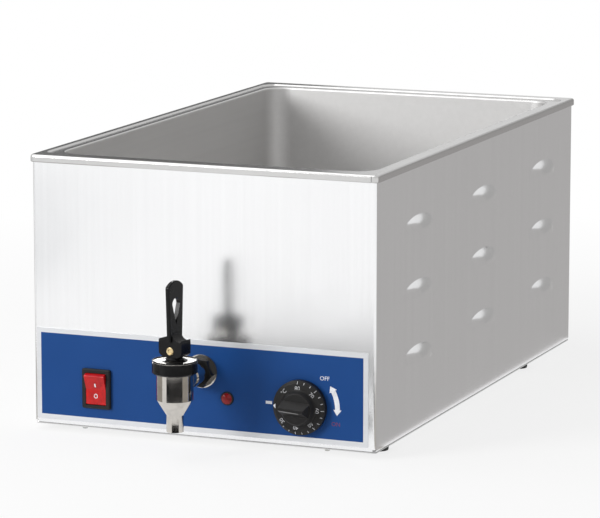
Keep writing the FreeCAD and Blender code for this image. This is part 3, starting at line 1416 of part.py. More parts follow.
def stud_places():
    front = FRONT + CLAMP_FRONT + STUD_INSET
    rear = FRONT + CLAMP_FRONT + CLAMP_L - STUD_INSET
    return [V(sx * STUD_X, y, TANK_UNDER) for sx in (-1, 1) for y in (front, rear)]


def clamp_plate():
    start = FRONT + CLAMP_FRONT
    plate = block(-CLAMP_W / 2, CLAMP_W / 2, start, start + CLAMP_L, CLAMP_TOP - CLAMP_T, CLAMP_TOP)
    for place in stud_places():
        base = V(place.x, place.y, CLAMP_TOP - CLAMP_T - PAST)
        plate = plate.cut(rod(STUD_R, base, Z_AXIS, CLAMP_T + 2 * PAST))
    return plate


def clamp_studs():
    length = TANK_UNDER - CLAMP_TOP + CLAMP_T + STUD_TAIL
    return [rod(STUD_R, place - V(0, 0, length), Z_AXIS, length) for place in stud_places()]


def clamp_nuts():
    nuts = []
    for place in stud_places():
        base = V(place.x, place.y, CLAMP_TOP - CLAMP_T - STUD_NUT_H)
        nut = hexagon(STUD_NUT_AF, base, Z_AXIS, STUD_NUT_H)
        nuts.append(nut.cut(rod(STUD_R, base - V(0, 0, PAST), Z_AXIS, STUD_NUT_H + 2 * PAST)))
    return nuts


def insulation_pad():
    start = FRONT + CLAMP_FRONT
    half = CLAMP_W / 2 - PAD_INSET
    top = CLAMP_TOP - CLAMP_T
    return block(-half, half, start + PAD_INSET, start + CLAMP_L - PAD_INSET, top - PAD_T, top)


# ---------------------------------------------------------------- cord inlet and wiring points
def gland_body():
    hexed = hexagon(GLAND_AF, GLAND, Y_AXIS, GLAND_HEX_L, 0, GLAND_BEVEL)
    inside = V(GLAND.x, REAR_SEAT - GLAND_INSIDE, GLAND.z)
    outside = GLAND_HEX_L + GLAND_NECK_L
    thread_l = GLAND_INSIDE + PANEL_T
    thread = rod(GLAND_R, inside, Y_AXIS, thread_l)
    neck = rod(GLAND_R - GLAND_NECK_STEP, GLAND, Y_AXIS, outside)
    body = hexed.fuse([thread, neck])
    body = body.cut(rod(CORD_R + DOME_MOUTH, inside - V(0, PAST, 0), Y_AXIS, thread_l + outside + 2 * PAST))
    socket = rod(GLAND_SEAL_R, GLAND + V(0, GLAND_HEX_L, 0), Y_AXIS, GLAND_NECK_L + PAST)
    return body.cut(socket).removeSplitter()


def gland_seal():
    start = GLAND + V(0, GLAND_HEX_L, 0)
    length = GLAND_DOME_L - DOME_WALL - SEAL_END_GAP
    return tube(GLAND_SEAL_R, CORD_R, start, Y_AXIS, length)


def gland_dome_nut():
    start = GLAND + V(0, GLAND_HEX_L, 0)
    nut = hexagon(GLAND_AF, start, Y_AXIS, GLAND_DOME_L)
    dome = turned(
        [
            (0, 0),
            (GLAND_AF, 0),
            (GLAND_AF, DOME_HEX_L),
            (GLAND_AF / 2 + DOME_SHOULDER, DOME_SHOULDER_L),
            (GLAND_AF / 2 - DOME_TURN, DOME_TURN_L),
            (GLAND_SEAL_R + DOME_LIP, GLAND_DOME_L),
            (0, GLAND_DOME_L),
        ],
        start,
        Y_AXIS,
    )
    nut = nut.common(dome)
    nut = nut.cut(rod(GLAND_R - GLAND_NECK_STEP, start, Y_AXIS, GLAND_NECK_L))
    nut = nut.cut(rod(GLAND_SEAL_R, start, Y_AXIS, GLAND_DOME_L - DOME_WALL))
    return nut.cut(rod(CORD_R + DOME_MOUTH, start, Y_AXIS, GLAND_DOME_L + PAST))


def gland_lock_nut():
    base = V(GLAND.x, REAR_SEAT, GLAND.z)
    nut = hexagon(GLAND_AF, base, V(0, -1, 0), GLAND_NUT_H)
    return nut.cut(rod(GLAND_R, base - V(0, GLAND_NUT_H + PAST, 0), Y_AXIS, GLAND_NUT_H + 2 * PAST))


def terminal_block():
    half = BLOCK_W / 2
    pitch = BLOCK_W / BLOCK_WAYS
    base = block(-half, half, -BLOCK_D / 2, BLOCK_D / 2, 0, BLOCK_H)
    hole_z = BLOCK_H / 2 - BLOCK_HOLE
    for way in range(BLOCK_WAYS):
        x = (way + 0.5) * pitch - half
        hole = block(x - BLOCK_HOLE / 2, x + BLOCK_HOLE / 2, -BLOCK_D, BLOCK_D, hole_z, hole_z + BLOCK_HOLE)
        base = base.cut(hole)
    for way in range(1, BLOCK_WAYS):
        x = way * pitch - half
        groove = block(x - BLOCK_GROOVE / 2, x + BLOCK_GROOVE / 2, -BLOCK_D, BLOCK_D, hole_z, 2 * BLOCK_H)
        base = base.cut(groove)
    base.translate(BLOCK_PLACE)
    return base


def earth_stud():
    return hex_screw(EARTH, Z_AXIS, EARTH_L)


def earth_nuts():
    spare = FLOOR_TOP + 2 * M4_NUT_H
    return [m4_nut(V(EARTH.x, EARTH.y, z)) for z in (FLOOR_TOP, spare)]


# ---------------------------------------------------------------- all nodes
def main():
    os.makedirs("parts", exist_ok=True)
    saved("casing_wrap", casing_wrap())
    saved("rear_panel", rear_panel())
    saved("base_plate", base_plate())
    saved("rim_frame", rim_frame())
    saved("well_tank", well_tank())
    saved("rubber_feet", *rubber_feet())
    saved("foot_screws", *foot_screws())
    saved("foot_nuts", *foot_nuts())
    saved("base_screws", *base_screws())
    saved("rear_screws", *rear_screws())
    saved("control_label", control_label())
    saved("rocker_housing", rocker_housing())
    saved("rocker_button", rocker_button())
    spade_y = LABEL_Y + SWITCH_BODY_D
    saved("rocker_terminals", *spades(SWITCH.x, SWITCH.z, spade_y, SPADE_PITCH_X, SPADE_PITCH_Z))
    saved("lamp_body", lamp_body())
    saved("lamp_lens", lamp_lens())
    saved("lamp_nut", lamp_nut())
    saved("thermostat_body", thermostat_body())
    saved("thermostat_spindle", thermostat_spindle())
    saved("thermostat_knob", thermostat_knob())
    saved("thermostat_screws", *thermostat_screws())
    saved("capillary_tube", capillary_tube())
    saved("sensor_bulb", sensor_bulb())
    saved("bulb_clips", *bulb_clips())
    saved("tap_body", tap_body())
    saved("bonnet_ring", bonnet_ring())
    saved("bonnet_cap", bonnet_cap())
    saved("bonnet_boss", bonnet_boss())
    saved("seat_cup", seat_cup())
    saved("tap_spring", tap_spring())
    saved("tap_stem", tap_stem())
    saved("pivot_pin", pivot_pin())
    saved("tap_handle", tap_handle())
    saved("shank_washer", shank_washer())
    saved("shank_nut", shank_nut())
    saved("shank_lock_nut", shank_lock_nut())
    saved("drain_socket", drain_socket())
    saved("drain_elbow", drain_elbow())
    saved("drain_hose", drain_hose())
    saved("hose_clips", *hose_clips())
    saved("heater_element", heater_element())
    saved("clamp_plate", clamp_plate())
    saved("clamp_studs", *clamp_studs())
    saved("clamp_nuts", *clamp_nuts())
    saved("insulation_pad", insulation_pad())
    saved("gland_body", gland_body())
    saved("gland_seal", gland_seal())
    saved("gland_dome_nut", gland_dome_nut())
    saved("gland_lock_nut", gland_lock_nut())
    saved("terminal_block", terminal_block())
    saved("earth_stud", earth_stud())
    saved("earth_nuts", *earth_nuts())


main()
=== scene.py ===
"""Looks of a countertop food warmer with a front tap: finishes, printed marks, floor, lamps and camera."""

import json
import math

import bpy
from bpy.props import FloatProperty, FloatVectorProperty, PointerProperty
from mathutils import Euler, Matrix, Vector


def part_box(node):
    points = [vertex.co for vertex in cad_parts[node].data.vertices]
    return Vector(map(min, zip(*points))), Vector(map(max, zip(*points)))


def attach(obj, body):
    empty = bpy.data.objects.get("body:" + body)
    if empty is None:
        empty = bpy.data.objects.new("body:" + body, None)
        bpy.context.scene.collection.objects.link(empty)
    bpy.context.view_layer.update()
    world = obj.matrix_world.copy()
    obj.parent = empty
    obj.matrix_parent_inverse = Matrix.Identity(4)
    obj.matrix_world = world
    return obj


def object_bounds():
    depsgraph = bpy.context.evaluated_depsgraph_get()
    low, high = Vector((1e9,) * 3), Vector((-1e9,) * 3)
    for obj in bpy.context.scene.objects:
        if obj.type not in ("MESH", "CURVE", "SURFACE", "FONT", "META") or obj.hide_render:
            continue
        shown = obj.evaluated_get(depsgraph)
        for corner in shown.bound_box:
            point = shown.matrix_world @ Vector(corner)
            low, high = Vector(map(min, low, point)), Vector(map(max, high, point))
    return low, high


bl_info = {
    "name": "Countertop food warmer looks",
    "version": (1, 0, 0),
    "blender": (4, 5, 0),
    "location": "View3D > Sidebar > Warmer",
    "description": "Finishes, printed marks and studio for a countertop food warmer",
    "category": "Object",
}

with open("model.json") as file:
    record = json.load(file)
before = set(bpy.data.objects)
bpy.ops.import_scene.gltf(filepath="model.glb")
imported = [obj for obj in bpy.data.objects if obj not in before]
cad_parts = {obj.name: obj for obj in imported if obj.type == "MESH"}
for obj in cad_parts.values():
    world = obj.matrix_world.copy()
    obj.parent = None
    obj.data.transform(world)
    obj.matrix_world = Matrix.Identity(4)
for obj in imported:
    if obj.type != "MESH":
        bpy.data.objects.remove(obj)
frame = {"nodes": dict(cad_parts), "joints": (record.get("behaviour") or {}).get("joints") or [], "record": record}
cad_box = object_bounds()
slot_of = {part["node"]: part["material_slot"] for part in frame["record"]["subparts"]}


# ---------------------------------------------------------------- small helpers


def printed(red, green, blue):
    """A colour as it is seen, 0 to 255, as the linear values that Blender works with."""
    return tuple(((c / 255 + 0.055) / 1.055) ** 2.4 if c > 10 else c / 3294.6 for c in (red, green, blue))


def with_alpha(colour):
    return (colour[0], colour[1], colour[2], 1.0)


def add_node(tree, kind, **settings):
    node = tree.nodes.new(kind)
    for name, value in settings.items():
        setattr(node, name, value)
    return node


def join(tree, source, target):
    tree.links.new(source, target)


def sum_up(tree, operation, first, second):
    """A Math node; each side is a socket or a number."""
    node = add_node(tree, "ShaderNodeMath", operation=operation)
    for socket, value in zip(node.inputs, (first, second)):
        if isinstance(value, (int, float)):
            socket.default_value = value
        else:
            join(tree, value, socket)
    return node.outputs[0]


def spread(tree, value, low, high, to_low, to_high):
    """Value mapped from low..high to to_low..to_high, and held there."""
    node = add_node(tree, "ShaderNodeMapRange", clamp=True)
    join(tree, value, node.inputs["Value"])
    for socket, number in zip(list(node.inputs)[1:5], (low, high, to_low, to_high)):
        socket.default_value = number
    return node.outputs["Result"]


def blend_colours(tree, factor, first, second, mode="MIX"):
    node = add_node(tree, "ShaderNodeMix", data_type="RGBA", blend_type=mode)
    join(tree, factor, node.inputs[0])
    for socket, value in ((node.inputs[6], first), (node.inputs[7], second)):
        if isinstance(value, tuple):
            socket.default_value = with_alpha(value)
        else:
            join(tree, value, socket)
    return node.outputs[2]


def scaled(colour, factor):
    return tuple(c * factor for c in colour)


def noise(tree, place, **values):
    """A noise texture's value at a place; each setting is a number or a socket."""
    node = add_node(tree, "ShaderNodeTexNoise")
    join(tree, place, node.inputs["Vector"])
    for name, value in values.items():
        if isinstance(value, float):
            node.inputs[name].default_value = value
        else:
            join(tree, value, node.inputs[name])
    return node.outputs[0]


def object_place(tree):
    """Where a point of the surface lies, in metres from the object's origin."""
    return add_node(tree, "ShaderNodeTexCoord").outputs["Object"]


def within(tree, *edges):
    """1 where a place is past every edge, each given as an axis, a value and the way that counts as in."""
    softness = 0.0001
    place = add_node(tree, "ShaderNodeSeparateXYZ")
    join(tree, object_place(tree), place.inputs[0])
    mask = None
    for axis, edge, direction in edges:
        step = sum_up(tree, "MULTIPLY", sum_up(tree, "SUBTRACT", place.outputs[axis], edge), direction)
        step = spread(tree, step, -softness, softness, 0.0, 1.0)
        mask = step if mask is None else sum_up(tree, "MULTIPLY", mask, step)
    return mask


# ---------------------------------------------------------------- shared effects


def effect_group(name, inputs, outputs):
    """A shader node group with named sockets, and its inner input and output nodes."""
    group = bpy.data.node_groups.new(name, "ShaderNodeTree")
    for socket_name, kind, default in inputs:
        socket = group.interface.new_socket(socket_name, in_out="INPUT", socket_type=kind)
        socket.default_value = default
    for socket_name in outputs:
        group.interface.new_socket(socket_name, in_out="OUTPUT", socket_type="NodeSocketFloat")
    return group, group.nodes.new("NodeGroupInput"), group.nodes.new("NodeGroupOutput")


def grain_group():
    """Brushed grain: noise that is stretched along one way, as fine lines, wider streaks and soft bands."""
    name = "brushed grain"
    if name in bpy.data.node_groups:
        return bpy.data.node_groups[name]
    group, start, end = effect_group(
        name,
        [
            ("Lines per metre", "NodeSocketVector", (1800.0, 1800.0, 14.0)),
            ("Band width", "NodeSocketFloat", 0.04),
        ],
        ["Lines", "Streaks", "Bands"],
    )
    streaks_per_line = 0.17
    place = object_place(group)
    fine = add_node(group, "ShaderNodeVectorMath", operation="MULTIPLY")
    join(group, place, fine.inputs[0])
    join(group, start.outputs["Lines per metre"], fine.inputs[1])
    coarse = add_node(group, "ShaderNodeVectorMath", operation="SCALE")
    join(group, fine.outputs[0], coarse.inputs[0])
    coarse.inputs["Scale"].default_value = streaks_per_line
    bands_per_metre = sum_up(group, "DIVIDE", 1.0, start.outputs["Band width"])
    lines = noise(group, fine.outputs[0], Scale=1.0, Detail=3.0, Roughness=0.7)
    join(group, lines, end.inputs["Lines"])
    join(group, noise(group, coarse.outputs[0], Scale=1.0, Detail=2.0), end.inputs["Streaks"])
    join(group, noise(group, place, Scale=bands_per_metre, Detail=1.5), end.inputs["Bands"])
    return group


def edge_group():
    """Edges that hands and cloths have rubbed: found from a rounded copy of the surface's normal."""
    name = "rubbed edges"
    if name in bpy.data.node_groups:
        return bpy.data.node_groups[name]
    group, start, end = effect_group(
        name,
        [("Width", "NodeSocketFloat", 0.0006), ("Amount", "NodeSocketFloat", 0.5)],
        ["Mask"],
    )
    rounded = add_node(group, "ShaderNodeBevel", samples=4)
    join(group, start.outputs["Width"], rounded.inputs["Radius"])
    flat = add_node(group, "ShaderNodeNewGeometry")
    alike = add_node(group, "ShaderNodeVectorMath", operation="DOT_PRODUCT")
    join(group, rounded.outputs[0], alike.inputs[0])
    join(group, flat.outputs["Normal"], alike.inputs[1])
    turned = spread(group, alike.outputs["Value"], 0.985, 0.8, 0.0, 1.0)
    patches_per_metre = 260.0
    patches = noise(group, object_place(group), Scale=patches_per_metre)
    patches = spread(group, patches, 0.35, 0.65, 0.25, 1.0)
    worn = sum_up(group, "MULTIPLY", turned, patches)
    join(group, sum_up(group, "MULTIPLY", worn, start.outputs["Amount"]), end.inputs["Mask"])
    return group


def handling_group():
    """Faint smears and dust left by use: large soft patches and sparse fine specks."""
    name = "handling marks"
    if name in bpy.data.node_groups:
        return bpy.data.node_groups[name]
    group, start, end = effect_group(
        name,
        [("Patch size", "NodeSocketFloat", 0.03), ("Speck size", "NodeSocketFloat", 0.0008)],
        ["Smears", "Specks"],
    )
    place = object_place(group)
    patches_per_metre = sum_up(group, "DIVIDE", 1.0, start.outputs["Patch size"])
    specks_per_metre = sum_up(group, "DIVIDE", 1.0, start.outputs["Speck size"])
    smears = noise(group, place, Scale=patches_per_metre, Detail=4.0, Distortion=0.6)
    specks = noise(group, place, Scale=specks_per_metre, Detail=1.0)
    join(group, spread(group, smears, 0.35, 0.7, 0.0, 1.0), end.inputs["Smears"])
    join(group, spread(group, specks, 0.3, 0.7, 0.0, 1.0), end.inputs["Specks"])
    return group


def place_group(tree, group, **values):
    node = add_node(tree, "ShaderNodeGroup", node_tree=group)
    for name, value in values.items():
        node.inputs[name.replace("_", " ")].default_value = value
    return node


# ---------------------------------------------------------------- finishes


def new_finish(name, roughness, metallic=0.0, **constants):
    """A material with one Principled shader whose plain values are set on its own sockets."""
    material = bpy.data.materials.new(name)
    material.use_nodes = True
    tree = material.node_tree
    shader = tree.nodes["Principled BSDF"]
    shader.inputs["Roughness"].default_value = roughness
    shader.inputs["Metallic"].default_value = metallic
    for socket, value in constants.items():
        shader.inputs[socket.replace("_", " ")].default_value = value
    return material, tree, shader


def bump(tree, shader, height, distance):
    """Relief on the surface; the distance is how far full height stands out."""
    node = add_node(tree, "ShaderNodeBump")
    node.inputs["Distance"].default_value = distance
    node.inputs["Strength"].default_value = 1.0
    join(tree, height, node.inputs["Height"])
    join(tree, node.outputs[0], shader.inputs["Normal"])


def dull_by_smears(tree, shader, marks, roughness, amount):
    """The roughness, and up to that amount more where the smears lie."""
    more = sum_up(tree, "MULTIPLY", marks.outputs["Smears"], amount)
    join(tree, sum_up(tree, "ADD", more, roughness), shader.inputs["Roughness"])


def brushed_steel(name, colour, roughness, lines, band_width, grain_depth, tone):
    """Stainless sheet: brushed lines in its colour, gloss and relief, soft bands and faint smears."""
    line_gloss = 0.1
    smear_gloss = 0.05
    material, tree, shader = new_finish(name, roughness, metallic=1.0)
    grain = place_group(tree, grain_group(), Lines_per_metre=lines, Band_width=band_width)
    marks = place_group(tree, handling_group(), Patch_size=band_width * 1.7)
    bands = sum_up(tree, "MULTIPLY", grain.outputs["Bands"], 0.5)
    shade = sum_up(tree, "ADD", bands, grain.outputs["Streaks"])
    shade = spread(tree, shade, 0.45, 1.05, 0.0, 1.0)
    darker = scaled(colour, 1 - 2 * tone)
    join(tree, blend_colours(tree, shade, darker, colour), shader.inputs["Base Color"])
    gloss = sum_up(tree, "MULTIPLY", sum_up(tree, "SUBTRACT", grain.outputs["Lines"], 0.5), line_gloss)
    gloss = sum_up(tree, "ADD", gloss, sum_up(tree, "MULTIPLY", marks.outputs["Smears"], smear_gloss))
    join(tree, sum_up(tree, "ADD", gloss, roughness), shader.inputs["Roughness"])
    bump(tree, shader, grain.outputs["Lines"], grain_depth)
    return material


def dull_inside(material, roughness, low, high):
    """The rim's inner skirt keeps the dull drawn surface of the well; its flat top stays smoother."""
    hem = 0.012
    top_band = 0.0015
    tree = material.node_tree
    shader = tree.nodes["Principled BSDF"]
    smooth = shader.inputs["Roughness"].links[0].from_socket
    skirt = within(
        tree,
        ("X", low.x + hem, 1),
        ("X", high.x - hem, -1),
        ("Y", low.y + hem, 1),
        ("Y", high.y - hem, -1),
        ("Z", high.z - top_band, -1),
    )
    extra = sum_up(tree, "MULTIPLY", skirt, sum_up(tree, "SUBTRACT", roughness, smooth))
    join(tree, sum_up(tree, "ADD", smooth, extra), shader.inputs["Roughness"])


def moulded_plastic(name, colour, roughness, speck_size, speck_depth, worn_colour, wear=0.35, shine=0.2):
    """Black or coloured plastic: a fine moulded texture, rubbed edges and a little dust."""
    material, tree, shader = new_finish(name, roughness, Specular_IOR_Level=shine)
    marks = place_group(tree, handling_group(), Patch_size=0.012, Speck_size=speck_size)
    edges = place_group(tree, edge_group(), Width=0.0005, Amount=wear)
    dusty = tuple(c * 0.9 + 0.004 for c in colour)
    base = blend_colours(tree, marks.outputs["Smears"], colour, dusty)
    join(tree, blend_colours(tree, edges.outputs["Mask"], base, worn_colour), shader.inputs["Base Color"])
    dull_by_smears(tree, shader, marks, roughness, 0.12)
    bump(tree, shader, marks.outputs["Specks"], speck_depth)
    return material


def plated_metal(name, colour, roughness, patch_size=0.008, ripple=0.00002, tarnish=None, dulling=0.08):
    """Bright metal: slight ripple, smears that dull the shine, and tarnish in the patches."""
    material, tree, shader = new_finish(name, roughness, metallic=1.0)
    marks = place_group(tree, handling_group(), Patch_size=patch_size, Speck_size=0.0015)
    dull = tarnish or scaled(colour, 0.86)
    join(tree, blend_colours(tree, marks.outputs["Smears"], colour, dull), shader.inputs["Base Color"])
    dull_by_smears(tree, shader, marks, roughness, dulling)
    bump(tree, shader, marks.outputs["Specks"], ripple)
    return material


def soft_finish(name, colour, roughness, speck_size, speck_depth, **constants):
    """Rubber, silicone, wool or ceramic: specks in colour and relief."""
    material, tree, shader = new_finish(name, roughness, **constants)
    marks = place_group(tree, handling_group(), Patch_size=0.015, Speck_size=speck_size)
    lighter = tuple(min(1.0, c * 1.25 + 0.01) for c in colour)
    base = blend_colours(tree, marks.outputs["Specks"], colour, lighter)
    join(tree, blend_colours(tree, marks.outputs["Smears"], base, colour), shader.inputs["Base Color"])
    bump(tree, shader, marks.outputs["Specks"], speck_depth)
    return material


def printed_film(name, look, low, high):
    """Control film: blue field inside a bare silver border, with a soft sheen and fine scratches."""
    bare_metal = 0.35
    material, tree, shader = new_finish(name, 0.32, Specular_IOR_Level=0.15)
    inside = within(
        tree,
        ("X", low.x + look.border, 1),
        ("X", high.x - look.border, -1),
        ("Z", low.z + look.border, 1),
        ("Z", high.z - look.border, -1),
    )
    grain = place_group(tree, grain_group(), Lines_per_metre=(30.0, 1500.0, 1500.0), Band_width=0.05)
    marks = place_group(tree, handling_group(), Patch_size=0.05)
    field = blend_colours(tree, grain.outputs["Bands"], scaled(look.blue, 0.86), tuple(look.blue))
    silver = blend_colours(tree, grain.outputs["Streaks"], scaled(look.silver, 0.9), tuple(look.silver))
    join(tree, blend_colours(tree, inside, silver, field), shader.inputs["Base Color"])
    outside = sum_up(tree, "SUBTRACT", 1.0, inside)
    join(tree, sum_up(tree, "MULTIPLY", outside, bare_metal), shader.inputs["Metallic"])
    dull_by_smears(tree, shader, marks, 0.34, 0.08)
    bump(tree, shader, grain.outputs["Lines"], 0.000004)
    return material


def red_plastic(name, colour):
    """Translucent red plastic, deeper in patches, under a thin glossy coat."""
    material, tree, shader = new_finish(
        name,
        0.16,
        Subsurface_Weight=0.2,
        Coat_Weight=0.12,
        Coat_Roughness=0.1,
        Specular_IOR_Level=0.3,
    )
    shader.inputs["Subsurface Radius"].default_value = (0.004, 0.0006, 0.0004)
    shader.inputs["Subsurface Scale"].default_value = 1.0
    marks = place_group(tree, handling_group(), Patch_size=0.01, Speck_size=0.0006)
    deep = scaled(colour, 0.6)
    join(tree, blend_colours(tree, marks.outputs["Smears"], colour, deep), shader.inputs["Base Color"])
    dull_by_smears(tree, shader, marks, 0.14, 0.1)
    bump(tree, shader, marks.outputs["Specks"], 0.000006)
    return material


def ink(name, colour, roughness=0.4):
    """Printed or hot-stamped ink, a little thin in patches; the same finish makes the painted highlight on the
    knob's grip.
    """
    material, tree, shader = new_finish(name, roughness)
    marks = place_group(tree, handling_group(), Patch_size=0.003, Speck_size=0.0005)
    thin = scaled(colour, 0.82)
    join(tree, blend_colours(tree, marks.outputs["Smears"], colour, thin), shader.inputs["Base Color"])
    bump(tree, shader, marks.outputs["Specks"], 0.000003)
    return material


def give(material, *names):
    """The finish goes on these solids, through their material slots."""
    for name in names:
        for slot in frame["nodes"][name].material_slots:
            slot.material = material


def in_slot(name):
    """The solids that the record puts in one material slot."""
    return [node for node, slot in slot_of.items() if slot == name]


# ---------------------------------------------------------------- printed and turned pieces


INK = 0.00004  # thickness of printed ink
# STAMP is also the thickness of the painted highlight stripe on the knob's grip.
STAMP = 0.00005  # thickness of a stamped mark
UP = Vector((0, 0, 1))


def surface_point(node, x, z):
    """Where a line straight back from the front meets a solid, and the way that its surface faces."""
    hit, point, normal, _ = frame["nodes"][node].ray_cast(Vector((x, -1.0, z)), Vector((0, 1, 0)))
    if not hit:
        raise RuntimeError(f"no surface of {node} lies behind x {x:.4f}, z {z:.4f}")
    return point, normal


def laid_on(point, normal, up):
    """The placing that lays a drawing's X and Y on a surface, with its Y towards up."""
    out = normal.normalized()
    across = up.cross(out).normalized()
    upward = out.cross(across)
    return Matrix.Translation(point) @ Matrix((across, upward, out)).transposed().to_4x4()


def upright_on(node, x, z):
    """The placing of an upright drawing on a solid's front."""
    point, normal = surface_point(node, x, z)
    return laid_on(point, normal, UP)


def ride_with(piece, body):
    bpy.context.scene.collection.objects.link(piece)
    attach(piece, body)


def made_piece(name, points, faces, placing, material, body):
    """A piece with a mesh of its own that moves with one body."""
    mesh = bpy.data.meshes.new(name)
    mesh.from_pydata(points, [], faces)
    mesh.transform(placing)
    mesh.materials.append(material)
    ride_with(bpy.data.objects.new(name, mesh), body)


def flat_piece(name, outline, thickness, placing, material, body):
    """A thin flat shape from a closed outline of (x, y) points."""
    count = len(outline)
    points = [(x, y, thickness) for x, y in outline] + [(x, y, 0.0) for x, y in outline]
    faces = [list(range(count)), [count + k for k in reversed(range(count))]]
    for k in range(count):
        after = (k + 1) % count
        faces.append([after, k, count + k, count + after])
    made_piece(name, points, faces, placing, material, body)


def stripe_piece(name, node, start, end, width, material, body):
    """A thin stripe that follows a solid's front surface between two places."""
    steps = 14
    side = Vector((start.z - end.z, 0.0, end.x - start.x)).normalized() * (width / 2)
    points = []
    for k in range(steps + 1):
        middle = start.lerp(end, k / steps)
        for spot in (middle - side, middle + side):
            point, normal = surface_point(node, spot.x, spot.z)
            points += [point, point + normal * STAMP]
    faces = [[0, 1, 3, 2]]
    for k in range(steps):
        first = 4 * k
        for one, other in ((0, 1), (1, 3), (3, 2), (2, 0)):
            faces.append([first + other, first + one, first + 4 + one, first + 4 + other])
    last = 4 * steps
    faces.append([last + 2, last + 3, last + 1, last])
    made_piece(name, points, faces, Matrix(), material, body)


def turned_piece(name, section, count, stretch, placing, material, body):
    """A closed section of (reach, height) points, outer side first and upwards, swept round its axis."""
    points = []
    for reach, height in section:
        for k in range(count):
            angle = 2 * math.pi * k / count
            points.append((reach * math.cos(angle), reach * math.sin(angle) * stretch, height))
    faces = []
    for ring in range(len(section)):
        after = (ring + 1) % len(section)
        for k in range(count):
            nearby = (k + 1) % count
            faces.append([ring * count + k, ring * count + nearby, after * count + nearby, after * count + k])
    made_piece(name, points, faces, placing, material, body)


def text_piece(name, words, height, placing, material, body):
    """Raised ink letters, centred on their place."""
    capital = 0.7  # a capital's share of the letters' size
    curve = bpy.data.curves.new(name, "FONT")
    curve.body = words
    curve.align_x = "CENTER"
    curve.align_y = "CENTER"
    curve.size = height / capital
    curve.extrude = INK / 2
    curve.resolution_u = 4
    words_object = bpy.data.objects.new(name, curve)
    bpy.context.scene.collection.objects.link(words_object)
    bpy.context.view_layer.update()
    mesh = bpy.data.meshes.new_from_object(words_object.evaluated_get(bpy.context.evaluated_depsgraph_get()))
    bpy.data.objects.remove(words_object)
    mesh.transform(placing)
    mesh.materials.clear()
    mesh.materials.append(material)
    ride_with(bpy.data.objects.new(name, mesh), body)


def bar_outline(half_width, half_height):
    return [(-half_width, -half_height), (half_width, -half_height),
            (half_width, half_height), (-half_width, half_height)]


def clock_way(degrees):
    """The way that a clock hand points after that many degrees past twelve, seen from the front."""
    angle = math.radians(degrees)
    return Vector((math.sin(angle), 0.0, math.cos(angle)))


def knob_centre():
    for joint in frame["joints"]:
        if joint["name"] == "dial":
            return Vector(joint["pos_m"])
    raise RuntimeError("the dial joint is missing")


# ---------------------------------------------------------------- settings


class WarmerSteelSettings(bpy.types.PropertyGroup):
    """Colours and grain of the stainless sheet."""

    casing: FloatVectorProperty(
        name="Casing sheet", description="Colour of the brushed casing", subtype="COLOR", size=3,
        default=(0.95, 0.952, 0.96), min=0, max=1)
    # A darker copy of the casing's steel: this colour paints the shade on the rim and inside the well.
    rim: FloatVectorProperty(
        name="Rim and well", description="Colour of the satin top and well", subtype="COLOR", size=3,
        default=(0.66, 0.655, 0.65), min=0, max=1)
    inner: FloatVectorProperty(
        name="Plain sheet", description="Colour of the unbrushed steel inside and below", subtype="COLOR",
        size=3, default=(0.62, 0.62, 0.62), min=0, max=1)
    roughness: FloatProperty(
        name="Roughness", description="How dull the casing sheet is", subtype="FACTOR", default=0.18,
        min=0, max=1)
    rim_roughness: FloatProperty(
        name="Rim roughness", description="How dull the rim is", subtype="FACTOR", default=0.2, min=0, max=1)
    well_roughness: FloatProperty(
        name="Well roughness", description="How dull the drawn well is", subtype="FACTOR", default=0.5,
        min=0, max=1)
    grain_depth: FloatProperty(
        name="Grain depth", description="Relief of the brushed lines", subtype="DISTANCE", unit="LENGTH",
        default=0.000001, min=0, max=0.0001, precision=6)


class WarmerPanelSettings(bpy.types.PropertyGroup):
    """Control film, its marks and its switch."""

    blue: FloatVectorProperty(
        name="Blue field", description="Colour printed inside the border", subtype="COLOR", size=3,
        default=printed(27, 73, 137), min=0, max=1)
    silver: FloatVectorProperty(
        name="Border", description="Bare border round the blue field", subtype="COLOR", size=3,
        default=(0.76, 0.77, 0.79), min=0, max=1)
    white_ink: FloatVectorProperty(
        name="White ink", description="Colour of the pale marks", subtype="COLOR", size=3,
        default=(0.86, 0.87, 0.9), min=0, max=1)
    red_ink: FloatVectorProperty(
        name="Red ink", description="Colour of the word ON", subtype="COLOR", size=3,
        default=printed(120, 50, 84), min=0, max=1)
    lens_red: FloatVectorProperty(
        name="Lamp lens", description="Colour of the pilot lamp's lens", subtype="COLOR", size=3,
        default=printed(150, 8, 20), min=0, max=1)
    rocker_red: FloatVectorProperty(
        name="Rocker", description="Colour of the rocker", subtype="COLOR", size=3,
        default=printed(205, 22, 24), min=0, max=1)
    border: FloatProperty(
        name="Border width", description="Width of the bare border", subtype="DISTANCE", unit="LENGTH",
        default=0.0047, min=0.001, max=0.02)
    letter_height: FloatProperty(
        name="Letter height", description="Height of OFF and ON", subtype="DISTANCE", unit="LENGTH",
        default=0.0038, min=0.002, max=0.01)
    numeral_height: FloatProperty(
        name="Numeral height", description="Height of the dial's numbers", subtype="DISTANCE", unit="LENGTH",
        default=0.0036, min=0.002, max=0.006)
    arrow_radius: FloatProperty(
        name="Arrow radius", description="Radius of the curved arrow round the knob", subtype="DISTANCE",
        unit="LENGTH", default=0.035, min=0.03, max=0.05)


